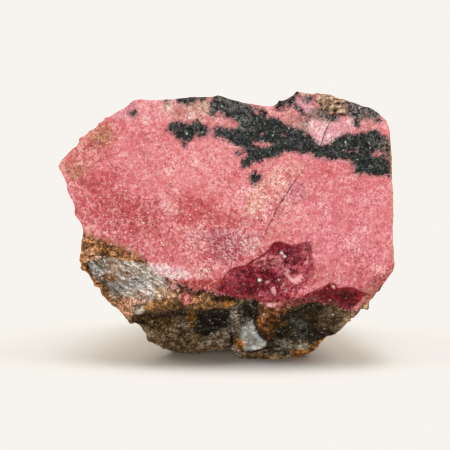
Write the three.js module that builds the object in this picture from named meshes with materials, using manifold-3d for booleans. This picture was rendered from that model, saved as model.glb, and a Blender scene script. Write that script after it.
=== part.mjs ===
// Rough rhodonite: one broken piece of pink rhodonite with its matrix crust.
// Millimetres, +Z up. The broad broken face looks towards -Y and leans back.
// The stone stands on a small flat worn at z = 0, under its middle.
import * as THREE from 'three';
import { mergeVertices } from 'three/addons/utils/BufferGeometryUtils.js';
import Module from 'manifold-3d';

// ---- driving dimensions -------------------------------------------------
const FACE_LEAN = 8;                       // degrees that the broad face leans back
const FACE_POINT = [-5.08, -13, 40.3];     // a point on the plane of the broad face
const STATION = [-5.08, -339.7, 109.74];   // the point that every sight line starts from
const BACK_DEPTH = 34;                     // depth of the middle ring behind the face plane
const BACK_SHRINK = 0.97;                  // its size beside the face's outline
const END_DEPTH = 62;                      // depth of the end ring, cut away by the back breaks
const END_SHRINK = 0.90;
const CORE = [-3, -4];                     // middle of the outline on the face plane

// Outline of the broad face and the crust below it, clockwise from the left tip.
// Each row: across the face plane, up the face plane, depth behind it.
const RIM = [
  [-49.6, 15.7, 1.2], [-48.4, 17.7, 1.1], [-46.1, 20.0, 1.0], [-44.3, 21.4, 0.9], [-43.8, 22.7, 0.8], [-42.0, 24.1, 0.8],
  [-40.2, 25.5, 0.7], [-38.6, 26.5, 0.7], [-36.9, 28.3, 0.7], [-35.5, 29.0, 0.7], [-33.7, 30.3, 0.7], [-31.6, 31.3, 0.6],
  [-30.4, 32.4, 0.6], [-29.2, 33.3, 0.6], [-27.8, 33.5, 0.6], [-25.3, 33.3, 0.6], [-21.9, 33.4, 0.5], [-19.7, 33.5, 0.5],
  [-17.4, 33.7, 0.5], [-14.2, 34.1, 0.5], [-11.0, 34.1, 0.4], [-8.9, 34.1, 0.5], [-7.3, 34.5, 0.4], [-6.1, 34.4, 0.5],
  [-4.0, 33.6, 0.6], [-2.0, 33.1, 0.7], [0.2, 32.5, 1.0], [2.0, 32.2, 1.2], [4.7, 31.7, 1.6], [7.7, 31.6, 2.2],
  [9.0, 32.7, 2.5], [11.4, 33.4, 1.5], [12.1, 34.0, 1.1], [13.5, 35.0, 0.6], [14.1, 35.4, 0.4], [15.7, 35.2, 0.6],
  [17.9, 35.0, 0.5], [20.1, 34.6, 0.5], [22.7, 34.4, 0.6], [24.7, 33.8, 0.6], [26.7, 33.0, 0.6], [28.4, 32.8, 0.6],
  [30.6, 32.2, 0.6], [33.1, 31.4, 0.7], [35.3, 30.1, 0.8], [36.4, 29.1, 0.8], [37.7, 28.2, 0.8], [38.4, 26.7, 0.8],
  [38.8, 24.3, 0.8], [39.0, 21.9, 0.8], [39.4, 17.5, 0.6], [39.5, 13.0, 0.5], [39.8, 8.6, 0.5], [39.9, 5.5, 0.5],
  [40.0, 2.6, 0.5], [39.8, -1.5, 0.5], [40.0, -4.6, 0.7], [40.2, -8.0, 1.0], [40.4, -10.7, 1.2], [40.0, -12.2, 1.6],
  [38.8, -14.0, 2.1], [37.8, -15.5, 2.6], [36.3, -17.6, 3.6], [34.3, -19.7, 5.3], [33.2, -21.9, 6.1], [31.2, -22.8, 7.4],
  [29.1, -24.9, 8.8], [26.5, -27.6, 10.6], [23.9, -29.7, 11.8], [22.1, -30.2, 12.6], [20.3, -32.1, 13.6], [17.8, -34.9, 15.0],
  [15.4, -35.3, 14.9], [12.9, -35.7, 14.8], [10.1, -36.2, 14.6], [7.8, -36.5, 14.4], [5.5, -36.7, 14.3], [4.3, -36.2, 14.3],
  [1.7, -36.1, 14.8], [-0.4, -36.0, 15.3], [-2.1, -35.0, 16.9], [-3.5, -33.9, 18.4], [-4.6, -33.4, 18.8], [-6.4, -33.7, 19.2],
  [-7.6, -33.8, 19.5], [-11.3, -34.3, 19.1], [-14.4, -34.7, 18.3], [-16.2, -34.9, 18.6], [-18.3, -34.5, 17.9], [-20.8, -33.4, 17.1],
  [-23.7, -32.1, 15.4], [-25.9, -30.5, 14.1], [-27.1, -28.0, 12.9], [-30.2, -26.3, 11.5], [-31.9, -25.1, 10.7], [-33.5, -22.8, 9.5],
  [-34.7, -21.4, 8.8], [-36.6, -20.2, 8.0], [-37.8, -18.8, 7.4], [-38.7, -17.1, 6.8], [-39.9, -16.1, 6.2], [-40.5, -14.5, 5.7],
  [-41.5, -13.0, 5.1], [-42.7, -12.0, 4.5], [-43.8, -10.3, 3.7], [-43.9, -9.1, 3.2], [-43.5, -6.2, 2.4], [-43.4, -4.2, 1.8],
  [-43.0, -2.3, 1.5], [-43.2, -0.7, 1.2], [-43.8, 0.8, 1.1], [-44.7, 1.8, 1.0], [-45.3, 3.0, 0.9], [-45.3, 5.5, 0.8],
  [-46.5, 7.5, 0.8], [-47.2, 9.4, 0.8], [-47.3, 10.8, 0.8], [-47.5, 11.6, 0.9], [-49.1, 14.7, 1.1],
];

// Relief inside the outline: the same three numbers.
// The pink face, its lip, the hollows below it, and the crust under the lip.
const RELIEF = [
  [-38.3, 20.0, 0.3], [-27.7, 28.0, 0.2], [-15.7, 29.3, 0.1], [-3.8, 28.0, 0.2], [8.2, 26.6, 0.5], [20.2, 28.5, 0],
  [32.1, 26.6, 0.1], [36.2, 20.0, 0], [-42.4, 13.4, 0.5], [-33.0, 14.7, 0.2], [-22.4, 17.3, 0], [-10.4, 18.7, 0.1],
  [1.6, 17.3, 0.1], [14.9, 17.3, -0.3], [26.9, 16.0, -0.2], [37.0, 10.7, -0.1], [-41.1, 5.4, 0.6], [-31.8, 5.4, 0.3],
  [-21.1, 6.7, 0.1], [-10.4, 6.7, 0], [-1.1, 6.7, -0.1], [7.5, 6.7, -0.5], [17.6, 6.7, -0.3], [28.3, 5.4, -0.3],
  [37.4, 0, -0.1], [-39.8, 0, 0.7], [-31.8, -1.9, 0.5], [-22.5, -2.7, 0.3], [-11.8, -1.9, 0.2], [-2.4, -1.9, -0.1],
  [3.2, -2.9, -0.5], [15.0, -0.8, -0.3], [27.0, -4.0, -0.3], [36.9, -8.9, 0.2], [-25.1, -6.7, 0.4], [-17.1, -8.0, 0.3],
  [-9.1, -8.9, 0.3], [-4.3, -8.9, 0.1], [23.0, -9.9, -0.1], [31.1, -11.5, 0.2], [-41.2, -2.7, 0.9], [-37.4, -3.6, 0.8],
  [-34.0, -4.7, 0.6], [-30.0, -7.1, 0.5], [-26.8, -9.0, 0.4], [-24.1, -10.5, 0.4], [-20.3, -11.5, 0.4], [-16.1, -13.2, 0.4],
  [-13.1, -14.6, 0.5], [-9.9, -15.0, 0.4], [-6.7, -14.5, 0.3], [-4.8, -12.6, 0.2], [-41.7, -6.2, 2.2], [-38.5, -6.7, 1.9],
  [-34.5, -7.2, 1.6], [-31.0, -8.9, 1.6], [-27.8, -10.5, 1.4], [-41.2, -9.9, 3.4], [-37.2, -10.2, 2.4], [-31.9, -12.1, 2],
  [-25.2, -12.9, 1.5], [-20.4, -14.8, 1.6], [-38.6, -14.2, 4.4], [-33.8, -15.9, 3.6], [-27.9, -16.7, 3], [-22.5, -17.5, 2.6],
  [-17.7, -16.4, 2], [-35.1, -19.1, 5.8], [-30.6, -20.2, 4.8], [-15.5, -15.6, 1.6], [-12.3, -17.2, 2], [-8.6, -17.7, 2.4],
  [-5.1, -17.2, 2.2], [-26.3, -21.5, 4.2], [-23.1, -20.4, 2.8], [-19.8, -19.4, 2.2], [-15.8, -19.1, 2.4], [-11.8, -20.2, 2.7],
  [-7.5, -20.7, 3.2], [-3.7, -20.4, 3.8], [-27.9, -23.1, 5.8], [-24.9, -23.3, 4.6], [-20.4, -22.6, 4], [-15.8, -22.6, 4.1],
  [-11.0, -23.1, 4.4], [-6.4, -23.7, 5], [-3.2, -23.7, 6], [-26.8, -25.0, 9.4], [-23.6, -25.0, 9.2], [-19.3, -24.5, 9.2],
  [-15.0, -24.5, 9.6], [-10.5, -25.0, 9.8], [-5.9, -25.6, 10], [-2.7, -26.1, 9.4], [-25.2, -27.7, 11.6], [-21.2, -27.7, 11.6],
  [-15.8, -28.3, 11.9], [-10.5, -29.1, 12.6], [-5.1, -29.9, 13.2], [-22.6, -31.0, 13.6], [-17.7, -32.4, 14.6], [-12.3, -32.6, 15.2],
  [-7.5, -31.8, 15.6], [-4.3, -32.4, 15.8], [-1.1, -21.0, 6], [0.8, -21.8, 8], [3.2, -20.7, 8.8], [0.0, -24.0, 8.6],
  [-1.6, -27.7, 10.2], [1.1, -27.2, 9.6], [3.8, -28.3, 9.6], [-0.2, -31.5, 11.8], [3.5, -32.6, 11.8], [5.7, -31.3, 11.2],
  [-1.0, -34.0, 13.8], [4.9, -34.5, 13.4], [3.8, -23.4, 8.2], [5.1, -23.7, 6.6], [7.3, -24.5, 6.4], [8.4, -26.7, 7.4],
  [6.7, -28.6, 8.6], [4.3, -26.7, 8], [5.9, -30.5, 10.8], [10.5, -23.4, 5.8], [15.1, -22.9, 5.4], [19.3, -22.3, 6],
  [12.4, -26.1, 8.2], [17.2, -26.1, 8.4], [22.0, -25.0, 8], [26.3, -24.2, 7.4], [10.0, -29.6, 10.6], [14.5, -29.9, 10.8],
  [19.4, -29.1, 10.6], [23.1, -27.5, 10], [11.3, -33.7, 13.2], [15.1, -33.4, 13.2], [18.3, -32.4, 13.2], [-2.9, -11.3, 0.2],
  [0.5, -10.3, 0.1], [3.8, -8.3, -0.1], [6.6, -6.2, -0.2], [8.3, -4.6, -0.2], [10.7, -4.7, -0.2], [13.0, -5.5, -0.2],
  [15.4, -4.9, -0.2], [17.3, -4.4, -0.2], [18.5, -6.7, -0.1], [19.2, -9.7, 0], [19.4, -12.1, 0.2], [-2.4, -12.2, 1.5],
  [1.1, -11.3, 2.2], [4.6, -9.3, 2.9], [7.2, -7.2, 3.2], [8.8, -5.6, 3.2], [11.0, -5.7, 3.3], [13.1, -6.5, 3.3],
  [15.5, -6.0, 2.8], [17.0, -6.0, 1.9], [17.5, -8.3, 1.7], [18.0, -11.0, 1.5], [-4.0, -14.8, 1.6], [-0.8, -14.5, 3],
  [2.4, -12.9, 3.9], [5.9, -10.7, 4.4], [9.6, -9.1, 4.5], [13.7, -9.1, 3.8], [16.1, -9.9, 2.6], [6.4, -14.5, 4.5],
  [3.2, -16.7, 4.6], [10.7, -12.6, 3.6], [12.6, -14.5, 2], [15.0, -12.4, 2.2], [9.1, -16.9, 4.2], [12.4, -17.7, 3.4],
  [-1.1, -17.5, 3.6], [-2.1, -19.1, 4.3], [1.6, -19.6, 4.9], [4.3, -20.2, 5.3], [7.3, -21.1, 5], [10.0, -21.9, 4.8],
  [12.9, -21.0, 4.4], [18.8, -14.2, 0.7], [15.8, -16.9, 1.9], [15.0, -19.6, 3.2], [18.3, -18.0, 2.2], [20.7, -16.0, 0.9],
  [23.1, -15.0, 0.4], [20.1, -16.9, 1.5], [23.3, -15.7, 0.7], [27.1, -16.1, 0.4], [30.6, -16.8, 0.5], [33.0, -18.0, 0.9],
  [20.9, -18.3, 3.3], [23.9, -17.1, 3.2], [27.1, -17.5, 3.4], [30.3, -18.2, 3], [32.2, -19.4, 2.8], [19.9, -20.2, 4.2],
  [23.6, -20.2, 4.6], [27.7, -20.2, 4.9], [30.6, -21.0, 4.8], [24.7, -22.6, 6.2], [28.5, -22.6, 6.2],
];

// Breaks round the back: a point on the break, its outward direction,
// and how far the removed block reaches along X from the point, when it is limited.
const BREAKS = [
  // top: left of the step, the dip beside the step, right of the step, then lower behind
  [[-10, -6, 74.0], [-0.05, 0.30, 0.95], [200, 19]],
  [[6, -6, 72.7], [0.02, 0.33, 0.94], [7, 4]],
  [[22, -6, 74.2], [0.10, 0.24, 0.96]],
  [[-22, 12, 65.3], [-0.30, 0.52, 0.80]],
  [[8, 12, 68.5], [0.04, 0.62, 0.78], [17, 60]],
  // upper left shoulder
  [[-41, -6, 63.8], [-0.60, 0.36, 0.71]],
  [[-44, 4, 50], [-0.80, 0.58, 0.16]],
  // left flank
  [[-44.3, -5, 38], [-0.86, 0.42, -0.22]],
  [[-34.6, -3, 15], [-0.72, 0.42, -0.55]],
  [[-31, 21, 30], [-0.62, 0.77, -0.10]],
  // right flank
  [[38.8, 0, 45], [0.94, 0.33, 0.05]],
  [[34, 14, 58], [0.66, 0.48, 0.58]],
  [[33.8, 2, 19], [0.68, 0.36, -0.63]],
  // back
  [[0, 31, 40], [0.12, 0.98, 0.10]],
  [[6, 27, 57], [0.08, 0.74, 0.66]],
  [[23, 28, 30], [0.58, 0.80, -0.08]],
  [[-4, 29, 12], [-0.12, 0.84, -0.52]],
  [[18, 21, 7], [0.40, 0.62, -0.66]],
];
const FLOOR = 0;                            // the flat that the stone rests on

// ---- helpers ------------------------------------------------------------
const rad = THREE.MathUtils.degToRad;
const station = new THREE.Vector3(...STATION);
const facePoint = new THREE.Vector3(...FACE_POINT);
const faceUp = new THREE.Vector3(0, Math.sin(rad(FACE_LEAN)), Math.cos(rad(FACE_LEAN)));
const faceOut = new THREE.Vector3(0, -Math.cos(rad(FACE_LEAN)), Math.sin(rad(FACE_LEAN)));

// The point on the sight line through (across, up) that lies depth behind the face plane.
function place([across, up, depth]) {
  const onFace = facePoint.clone().addScaledVector(faceUp, up);
  onFace.x = across;
  const line = onFace.sub(station);
  const reach = facePoint.clone().sub(station).dot(faceOut) - depth;
  return station.clone().addScaledVector(line, reach / line.dot(faceOut));
}

// Delaunay triangles of points in the plane (Bowyer and Watson).
function delaunay(points) {
  const n = points.length;
  const all = [...points.map((p) => [p[0], p[1]]), [-4000, -3000], [4000, -3000], [0, 5000]];
  const circle = ([i, j, k]) => {
    const [ax, ay] = all[i], [bx, by] = all[j], [cx, cy] = all[k];
    const d = 2 * (ax * (by - cy) + bx * (cy - ay) + cx * (ay - by));
    const a2 = ax * ax + ay * ay, b2 = bx * bx + by * by, c2 = cx * cx + cy * cy;
    const x = (a2 * (by - cy) + b2 * (cy - ay) + c2 * (ay - by)) / d;
    const y = (a2 * (cx - bx) + b2 * (ax - cx) + c2 * (bx - ax)) / d;
    return { t: [i, j, k], x, y, r2: (ax - x) ** 2 + (ay - y) ** 2 };
  };
  let live = [circle([n, n + 1, n + 2])];
  for (let p = 0; p < n; p++) {
    const [x, y] = all[p];
    const edges = new Map();
    const keep = [];
    for (const c of live) {
      if ((x - c.x) ** 2 + (y - c.y) ** 2 > c.r2) { keep.push(c); continue; }
      for (const [a, b] of [[c.t[0], c.t[1]], [c.t[1], c.t[2]], [c.t[2], c.t[0]]]) {
        const back = `${b},${a}`;
        if (edges.has(back)) edges.delete(back); else edges.set(`${a},${b}`, [a, b]);
      }
    }
    live = keep;
    for (const [a, b] of edges.values()) live.push(circle([a, b, p]));
  }
  return live.map((c) => c.t).filter((t) => t.every((i) => i < n));
}

function inside([x, y], loop) {
  let hit = false;
  for (let i = 0, j = loop.length - 1; i < loop.length; j = i++) {
    const [xi, yi] = loop[i], [xj, yj] = loop[j];
    if ((yi > y) !== (yj > y) && x < ((xj - xi) * (y - yi)) / (yj - yi) + xi) hit = !hit;
  }
  return hit;
}

// ---- the front sheet ----------------------------------------------------
const flat = [...RIM, ...RELIEF];
const sheet = delaunay(flat)
  .filter((t) => inside([(flat[t[0]][0] + flat[t[1]][0] + flat[t[2]][0]) / 3,
    (flat[t[0]][1] + flat[t[1]][1] + flat[t[2]][1]) / 3], RIM))
  .map(([a, b, c]) => {
    const turn = (flat[b][0] - flat[a][0]) * (flat[c][1] - flat[a][1])
      - (flat[b][1] - flat[a][1]) * (flat[c][0] - flat[a][0]);
    return turn > 0 ? [a, b, c] : [a, c, b];
  });

// Its edge: the directed edges that only one triangle uses, chained into one loop.
const next = new Map();
{
  const seen = new Set(sheet.flatMap(([a, b, c]) => [`${a},${b}`, `${b},${c}`, `${c},${a}`]));
  for (const key of seen) {
    const [a, b] = key.split(',').map(Number);
    if (!seen.has(`${b},${a}`)) next.set(a, b);
  }
}
const edge = [];
for (let at = next.keys().next().value; edge.length < next.size; at = next.get(at)) edge.push(at);
if (new Set(edge).size !== next.size) throw new Error('the face has more than one edge loop');

// ---- the body behind it -------------------------------------------------
const points = flat.map(place);
const ring = (shrink, depth) => edge.map((i) => {
  const across = CORE[0] + (flat[i][0] - CORE[0]) * shrink;
  const up = CORE[1] + (flat[i][1] - CORE[1]) * shrink;
  points.push(place([across, up, depth]));
  return points.length - 1;
});
const rings = [edge, ring(BACK_SHRINK, BACK_DEPTH), ring(END_SHRINK, END_DEPTH)];
const faces = [...sheet];
for (let k = 0; k + 1 < rings.length; k++) {
  for (let i = 0; i < edge.length; i++) {
    const j = (i + 1) % edge.length;
    const [a, b, c, d] = [rings[k][i], rings[k][j], rings[k + 1][j], rings[k + 1][i]];
    faces.push([a, d, c], [a, c, b]);
  }
}
const last = rings[rings.length - 1];
const outline = edge.map((i) => new THREE.Vector2(flat[i][0], flat[i][1]));
for (const [a, b, c] of THREE.ShapeUtils.triangulateShape(outline, [])) {
  const turn = outline[b].clone().sub(outline[a]).cross(outline[c].clone().sub(outline[a]));
  faces.push(turn > 0 ? [last[a], last[c], last[b]] : [last[a], last[b], last[c]]);
}
const block = new THREE.BufferGeometry();
block.setAttribute('position', new THREE.Float32BufferAttribute(points.flatMap((p) => [p.x, p.y, p.z]), 3));
block.setIndex(faces.flat());

// ---- the breaks that shape it -------------------------------------------
const wasm = await Module();
wasm.setup();
function solid(geometry) {
  const bare = geometry.clone();
  bare.deleteAttribute('normal');
  bare.deleteAttribute('uv');
  const merged = mergeVertices(bare, 1e-4);
  return new wasm.Manifold(new wasm.Mesh({
    numProp: 3,
    vertProperties: new Float32Array(merged.attributes.position.array),
    triVerts: new Uint32Array(merged.index.array),
  }));
}

const UP = new THREE.Vector3(0, 0, 1);
function blockBeyond([px, py, pz], [nx, ny, nz], reach) {
  const out = new THREE.Vector3(nx, ny, nz).normalize();
  const [left, right] = reach ?? [200, 200];
  const box = new THREE.BoxGeometry(left + right, 400, 120);
  box.translate((right - left) / 2, 0, 60);
  const across = new THREE.Vector3(1, 0, 0).addScaledVector(out, -out.x).normalize();
  const turn = new THREE.Matrix4().makeBasis(across, out.clone().cross(across), out);
  box.applyMatrix4(turn.setPosition(px, py, pz));
  return box;
}

let stone = solid(block);
for (const [point, out, reach] of BREAKS) stone = stone.subtract(solid(blockBeyond(point, out, reach)));
const under = new THREE.BoxGeometry(300, 300, 60);
under.translate(0, 0, FLOOR - 30);
stone = stone.subtract(solid(under));

// ---- the one node -------------------------------------------------------
const cut = stone.getMesh();
const shape = new THREE.BufferGeometry();
shape.setAttribute('position', new THREE.BufferAttribute(new Float32Array(cut.vertProperties), 3));
shape.setIndex(new THREE.BufferAttribute(new Uint32Array(cut.triVerts), 1));
shape.computeBoundingBox();
const { min, max } = shape.boundingBox;
shape.translate(-(min.x + max.x) / 2, -(min.y + max.y) / 2, -min.z);
shape.computeVertexNormals();

const rhodonite = new THREE.Mesh(shape, new THREE.MeshStandardMaterial({
  color: 0xc9767b, roughness: 0.62, metalness: 0,
}));
rhodonite.name = 'rhodonite_stone';

const specimen = new THREE.Group();
specimen.add(rhodonite);
export default specimen;
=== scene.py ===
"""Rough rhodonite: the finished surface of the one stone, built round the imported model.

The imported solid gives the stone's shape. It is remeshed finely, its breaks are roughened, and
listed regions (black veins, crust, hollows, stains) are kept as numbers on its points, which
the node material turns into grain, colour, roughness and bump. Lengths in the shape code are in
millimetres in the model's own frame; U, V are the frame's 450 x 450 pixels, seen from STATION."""
import math

import bpy
import numpy as np
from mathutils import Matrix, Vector


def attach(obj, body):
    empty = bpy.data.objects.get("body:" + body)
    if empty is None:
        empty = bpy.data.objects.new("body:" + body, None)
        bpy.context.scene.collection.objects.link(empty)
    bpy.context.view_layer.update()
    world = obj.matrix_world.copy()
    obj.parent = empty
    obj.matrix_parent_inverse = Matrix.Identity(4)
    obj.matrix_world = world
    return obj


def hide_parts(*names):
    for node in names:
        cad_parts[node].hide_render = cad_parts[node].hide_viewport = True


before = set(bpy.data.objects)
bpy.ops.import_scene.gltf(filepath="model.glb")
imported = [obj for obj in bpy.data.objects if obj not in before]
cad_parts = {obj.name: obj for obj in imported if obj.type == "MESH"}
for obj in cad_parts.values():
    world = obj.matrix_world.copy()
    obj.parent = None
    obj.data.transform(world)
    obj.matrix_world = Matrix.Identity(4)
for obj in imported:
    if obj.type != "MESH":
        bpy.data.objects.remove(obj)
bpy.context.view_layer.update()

NODE = "rhodonite_stone"

# ---- the view that the regions are drawn from --------------------------------------------------
SHIFT = np.array([4.2814, -9.7613, 0.0])            # the model's move to its own origin
STATION = np.array([-5.08, -339.70, 109.74]) + SHIFT
ELEVATION = math.radians(12.0)
FOCAL = 1250.0                                      # pixels
AHEAD = np.array([0.0, math.cos(ELEVATION), -math.sin(ELEVATION)])
UPWARD = np.array([0.0, math.sin(ELEVATION), math.cos(ELEVATION)])
LEAN = math.radians(8.0)
FACE_OUT = np.array([0.0, -math.cos(LEAN), math.sin(LEAN)])
FACE_POINT = np.array([-5.08, -13.0, 40.3]) + SHIFT


def to_pixels(p):
    q = p - STATION
    depth = q @ AHEAD
    return 225 + FOCAL * q[:, 0] / depth, 225 - FOCAL * (q @ UPWARD) / depth, depth


# ---- noise, in plain arrays -------------------------------------------------------------------
def _hash(ix, iy, iz, seed):
    with np.errstate(over="ignore"):
        h = (ix.astype(np.int64) * 73856093) ^ (iy.astype(np.int64) * 19349663) ^ (iz.astype(np.int64) * 83492791)
        h = (h ^ (seed * 2654435761)) & 0xFFFFFFFF
        h = h.astype(np.uint64)
        h = ((h ^ (h >> np.uint64(16))) * np.uint64(0x45D9F3B)) & np.uint64(0xFFFFFFFF)
        h = ((h ^ (h >> np.uint64(16))) * np.uint64(0x45D9F3B)) & np.uint64(0xFFFFFFFF)
        return h ^ (h >> np.uint64(16))


def _unit(h):
    return (h & np.uint64(0xFFFF)).astype(np.float64) / 65535.0


_GRAD = np.array([[1, 1, 0], [-1, 1, 0], [1, -1, 0], [-1, -1, 0], [1, 0, 1], [-1, 0, 1], [1, 0, -1], [-1, 0, -1],
                  [0, 1, 1], [0, -1, 1], [0, 1, -1], [0, -1, -1], [1, 1, 0], [-1, 1, 0], [0, -1, 1], [0, -1, -1]], float)


def noise(p, size, seed=0):
    """Gradient noise, about -1 to 1, with features of that size in mm."""
    q = p / size
    i = np.floor(q).astype(np.int64)
    f = q - i
    w = f * f * f * (f * (f * 6 - 15) + 10)
    out = np.zeros(len(p))
    for dx in (0, 1):
        for dy in (0, 1):
            for dz in (0, 1):
                g = _GRAD[(_hash(i[:, 0] + dx, i[:, 1] + dy, i[:, 2] + dz, seed) & np.uint64(15)).astype(int)]
                d = g[:, 0] * (f[:, 0] - dx) + g[:, 1] * (f[:, 1] - dy) + g[:, 2] * (f[:, 2] - dz)
                out += d * (w[:, 0] if dx else 1 - w[:, 0]) * (w[:, 1] if dy else 1 - w[:, 1]) * (w[:, 2] if dz else 1 - w[:, 2])
    return out


def fbm(p, size, octaves=3, seed=0, gain=0.5):
    out, amp, total = np.zeros(len(p)), 1.0, 0.0
    for k in range(octaves):
        out += amp * noise(p + 17.3 * k, size / 2 ** k, seed + k)
        total += amp
        amp *= gain
    return out / total


def cells(p, size, seed=0):
    """Distance to the nearest and second nearest jittered point, in cells, and the nearest one's number and offset."""
    q = p / size
    i = np.floor(q).astype(np.int64)
    f = q - i
    near, second = np.full(len(p), 9.0), np.full(len(p), 9.0)
    number = np.zeros(len(p), np.uint64)
    offset = np.zeros((len(p), 3))
    for dx in (-1, 0, 1):
        for dy in (-1, 0, 1):
            for dz in (-1, 0, 1):
                h = _hash(i[:, 0] + dx, i[:, 1] + dy, i[:, 2] + dz, seed)
                c = np.stack([dx + _unit(h), dy + _unit(h >> np.uint64(8)), dz + _unit(h >> np.uint64(16))], 1)
                d = f - c
                r = np.sqrt((d * d).sum(1))
                closer = r < near
                second = np.where(closer, near, np.minimum(second, r))
                near = np.where(closer, r, near)
                number = np.where(closer, h, number)
                offset[closer] = d[closer]
    return near, second, number, offset


def facets(p, size, seed=0):
    """Broken grain: each cell is a plane with its own tilt, about -1 to 1."""
    near, second, number, offset = cells(p, size, seed)
    tilt = np.stack([_unit(number), _unit(number >> np.uint64(5)), _unit(number >> np.uint64(11))], 1) - 0.5
    fade = np.clip((second - near) / 0.25, 0, 1)
    return (tilt * offset).sum(1) * 2.4 * fade + (_unit(number >> np.uint64(3)) - 0.5) * 0.5 * fade


def smooth(a, b, x):
    t = np.clip((x - a) / (b - a), 0, 1)
    return t * t * (3 - 2 * t)


# ---- drawn regions, in the view's pixels --------------------------------------------------------
# The edge between the broad pink face and the crust under it, left to right, closed below the stone.
CRUST_EDGE = [(40, 229), (80, 232), (92, 238), (104, 242), (118, 246.5), (132, 253), (144, 260), (149, 267), (157, 274), (166, 278),
              (176, 281), (183, 286), (192, 289), (204, 290.5), (214, 292), (224, 295), (236, 298), (250, 299.5), (257, 299.5), (263, 303),
              (269, 307), (277, 309), (286, 308), (293, 306), (302, 304), (312, 302.5), (322, 303), (333, 305), (345, 309), (355, 310.5),
              (360, 307), (368, 300), (378, 290.5), (388, 281), (397, 270), (440, 330), (380, 420), (60, 420), (20, 300)]

VEINS = [
    # the blob on the left, with its notch
    [(168, 129.4), (172, 123.3), (183, 122.6), (188, 126.3), (191.5, 121.6), (199, 121.5), (204.6, 125.9), (210, 130.2),
     (206, 135.8), (199, 136.4), (199.5, 132.4), (194.3, 135.2), (191.5, 139), (187, 141), (178, 138), (173.4, 133.8)],
    # the band across the upper right
    [(211, 104), (213.6, 97), (218, 94), (230, 95), (237.5, 100), (246.4, 103.4), (255, 106.5), (264, 109.5), (266, 113.5),
     (266.5, 118.5), (279.7, 119), (288.9, 126.4), (296, 129), (302.7, 130.3), (310.7, 137.6), (318.7, 145.2), (324.5, 146.6),
     (333.7, 140.8), (342.8, 135.1), (354.3, 134.8), (368, 132.8), (376, 130.3), (380, 135.4), (386, 137.8), (388.4, 142),
     (389.6, 176), (387, 174.3), (373.8, 174.7), (362.4, 173), (355.4, 172.3), (356.2, 168), (348.6, 159.4), (340.5, 158.2),
     (329.5, 159), (322.4, 155.8), (317.4, 157), (311.8, 153.5), (301, 153.3), (294, 150.2), (284.6, 151), (277.6, 155.6),
     (266, 158), (255, 161.4), (247, 166), (241.8, 166.2), (242, 160.2), (247.4, 157), (246.4, 148.4), (239.4, 145.2),
     (231, 142.8), (226.6, 138.8), (220, 137.2), (214, 136.2), (213.6, 129), (220, 127.6), (230.5, 129), (238, 128),
     (239.6, 122.6), (232, 117.4), (220, 115.4), (210.5, 113.8)],
    # the small blob under it
    [(250, 177), (252.5, 174), (255, 171.5), (256.5, 174.5), (260, 175.5), (258.4, 178.6), (260.5, 181), (256.5, 181.5), (254, 184), (251.5, 181)],
    # the cap on the upper right corner
    [(346, 105), (347, 95), (362, 95), (376, 100), (385, 110), (378, 116.6), (369, 117), (362, 119), (356, 119), (351, 116), (347.4, 112)],
    # bits along the top edge
    [(164, 99), (169, 98.4), (168.6, 102.3), (165.2, 102.6)],
    [(177, 99), (186, 98), (196, 96), (196, 101), (189, 103.4), (184.5, 104.4), (180, 102), (179, 100.4)],
    [(199, 97), (205, 96.4), (206, 100.4), (201, 101)],
    [(275, 106.4), (276, 98), (283, 96), (287.6, 99), (286, 104.6), (284, 107.6), (280, 109), (277, 108)],
    [(287.6, 99.4), (292, 94), (296.4, 98), (294, 103), (290, 106.6), (288, 105)],
    [(296, 90), (299, 93), (298.6, 95.6), (295.4, 94)],
    [(301, 97.6), (307, 95.8), (313, 97.6), (315.6, 99.6), (309, 101), (303, 100.6)],
    [(293, 103.6), (299, 107), (304, 111.6), (309.6, 115.6), (307, 118), (301.6, 113.4), (296, 108.4)],
    [(318, 111), (323, 113.6), (330, 115.6), (337, 117), (336, 119.6), (329, 118.8), (321, 116)],
    [(353.6, 121.4), (358, 121.6), (359, 126.4), (355.4, 125.6)],
    [(375, 119), (380.6, 118), (380, 121), (375.6, 121)],
    [(131, 112.4), (134.6, 111.6), (136, 114.6), (132.4, 115.2)],
    [(235.6, 151.6), (238.8, 151), (239.6, 154.6), (236.6, 154.4)],
    [(182.4, 141), (184.6, 140.6), (185, 145), (183.4, 145.4)],
]
# Pink islands inside the band.
ISLANDS = [
    [(213, 112), (219, 110.6), (225, 113), (223, 117.4), (217, 118.6), (213, 116.6)],
    [(349, 103.4), (355.6, 103.6), (356, 107), (351, 108)],
    [(352.6, 110.4), (356.4, 110), (357, 112.6), (353, 113.2)],
    [(364.6, 112.2), (371, 112.2), (371.4, 115), (366, 115.6)],
    [(360, 103.4), (364, 104), (364.6, 106.4), (361, 106)],
    [(358, 107.4), (361.6, 107), (362, 109), (358.6, 109.6)],
    [(371, 107), (374.6, 108.6), (373, 111), (370.4, 109.6)],
    [(360, 114), (363.6, 113.4), (364, 116.4), (360.6, 117)],
    [(251, 142.4), (259, 140.4), (268, 142), (272.5, 145.2), (265, 148), (255, 147.4)],
    [(343, 150.6), (352, 149.6), (364, 151.6), (356, 153), (346, 152.6)],
    [(370, 152.6), (377, 149.6), (385, 152), (380, 157), (371, 158)],
    [(256, 132.6), (264, 131.4), (266, 134), (259, 135.6)],
    [(252, 107), (258, 110), (262, 113.6), (257, 114.6), (252.6, 111.6)],
    [(383.6, 142), (386, 143), (389.5, 160), (386, 159), (383.6, 152)],
    [(283, 133.4), (286.4, 132.8), (286, 136), (283.4, 136)],
]
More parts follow.
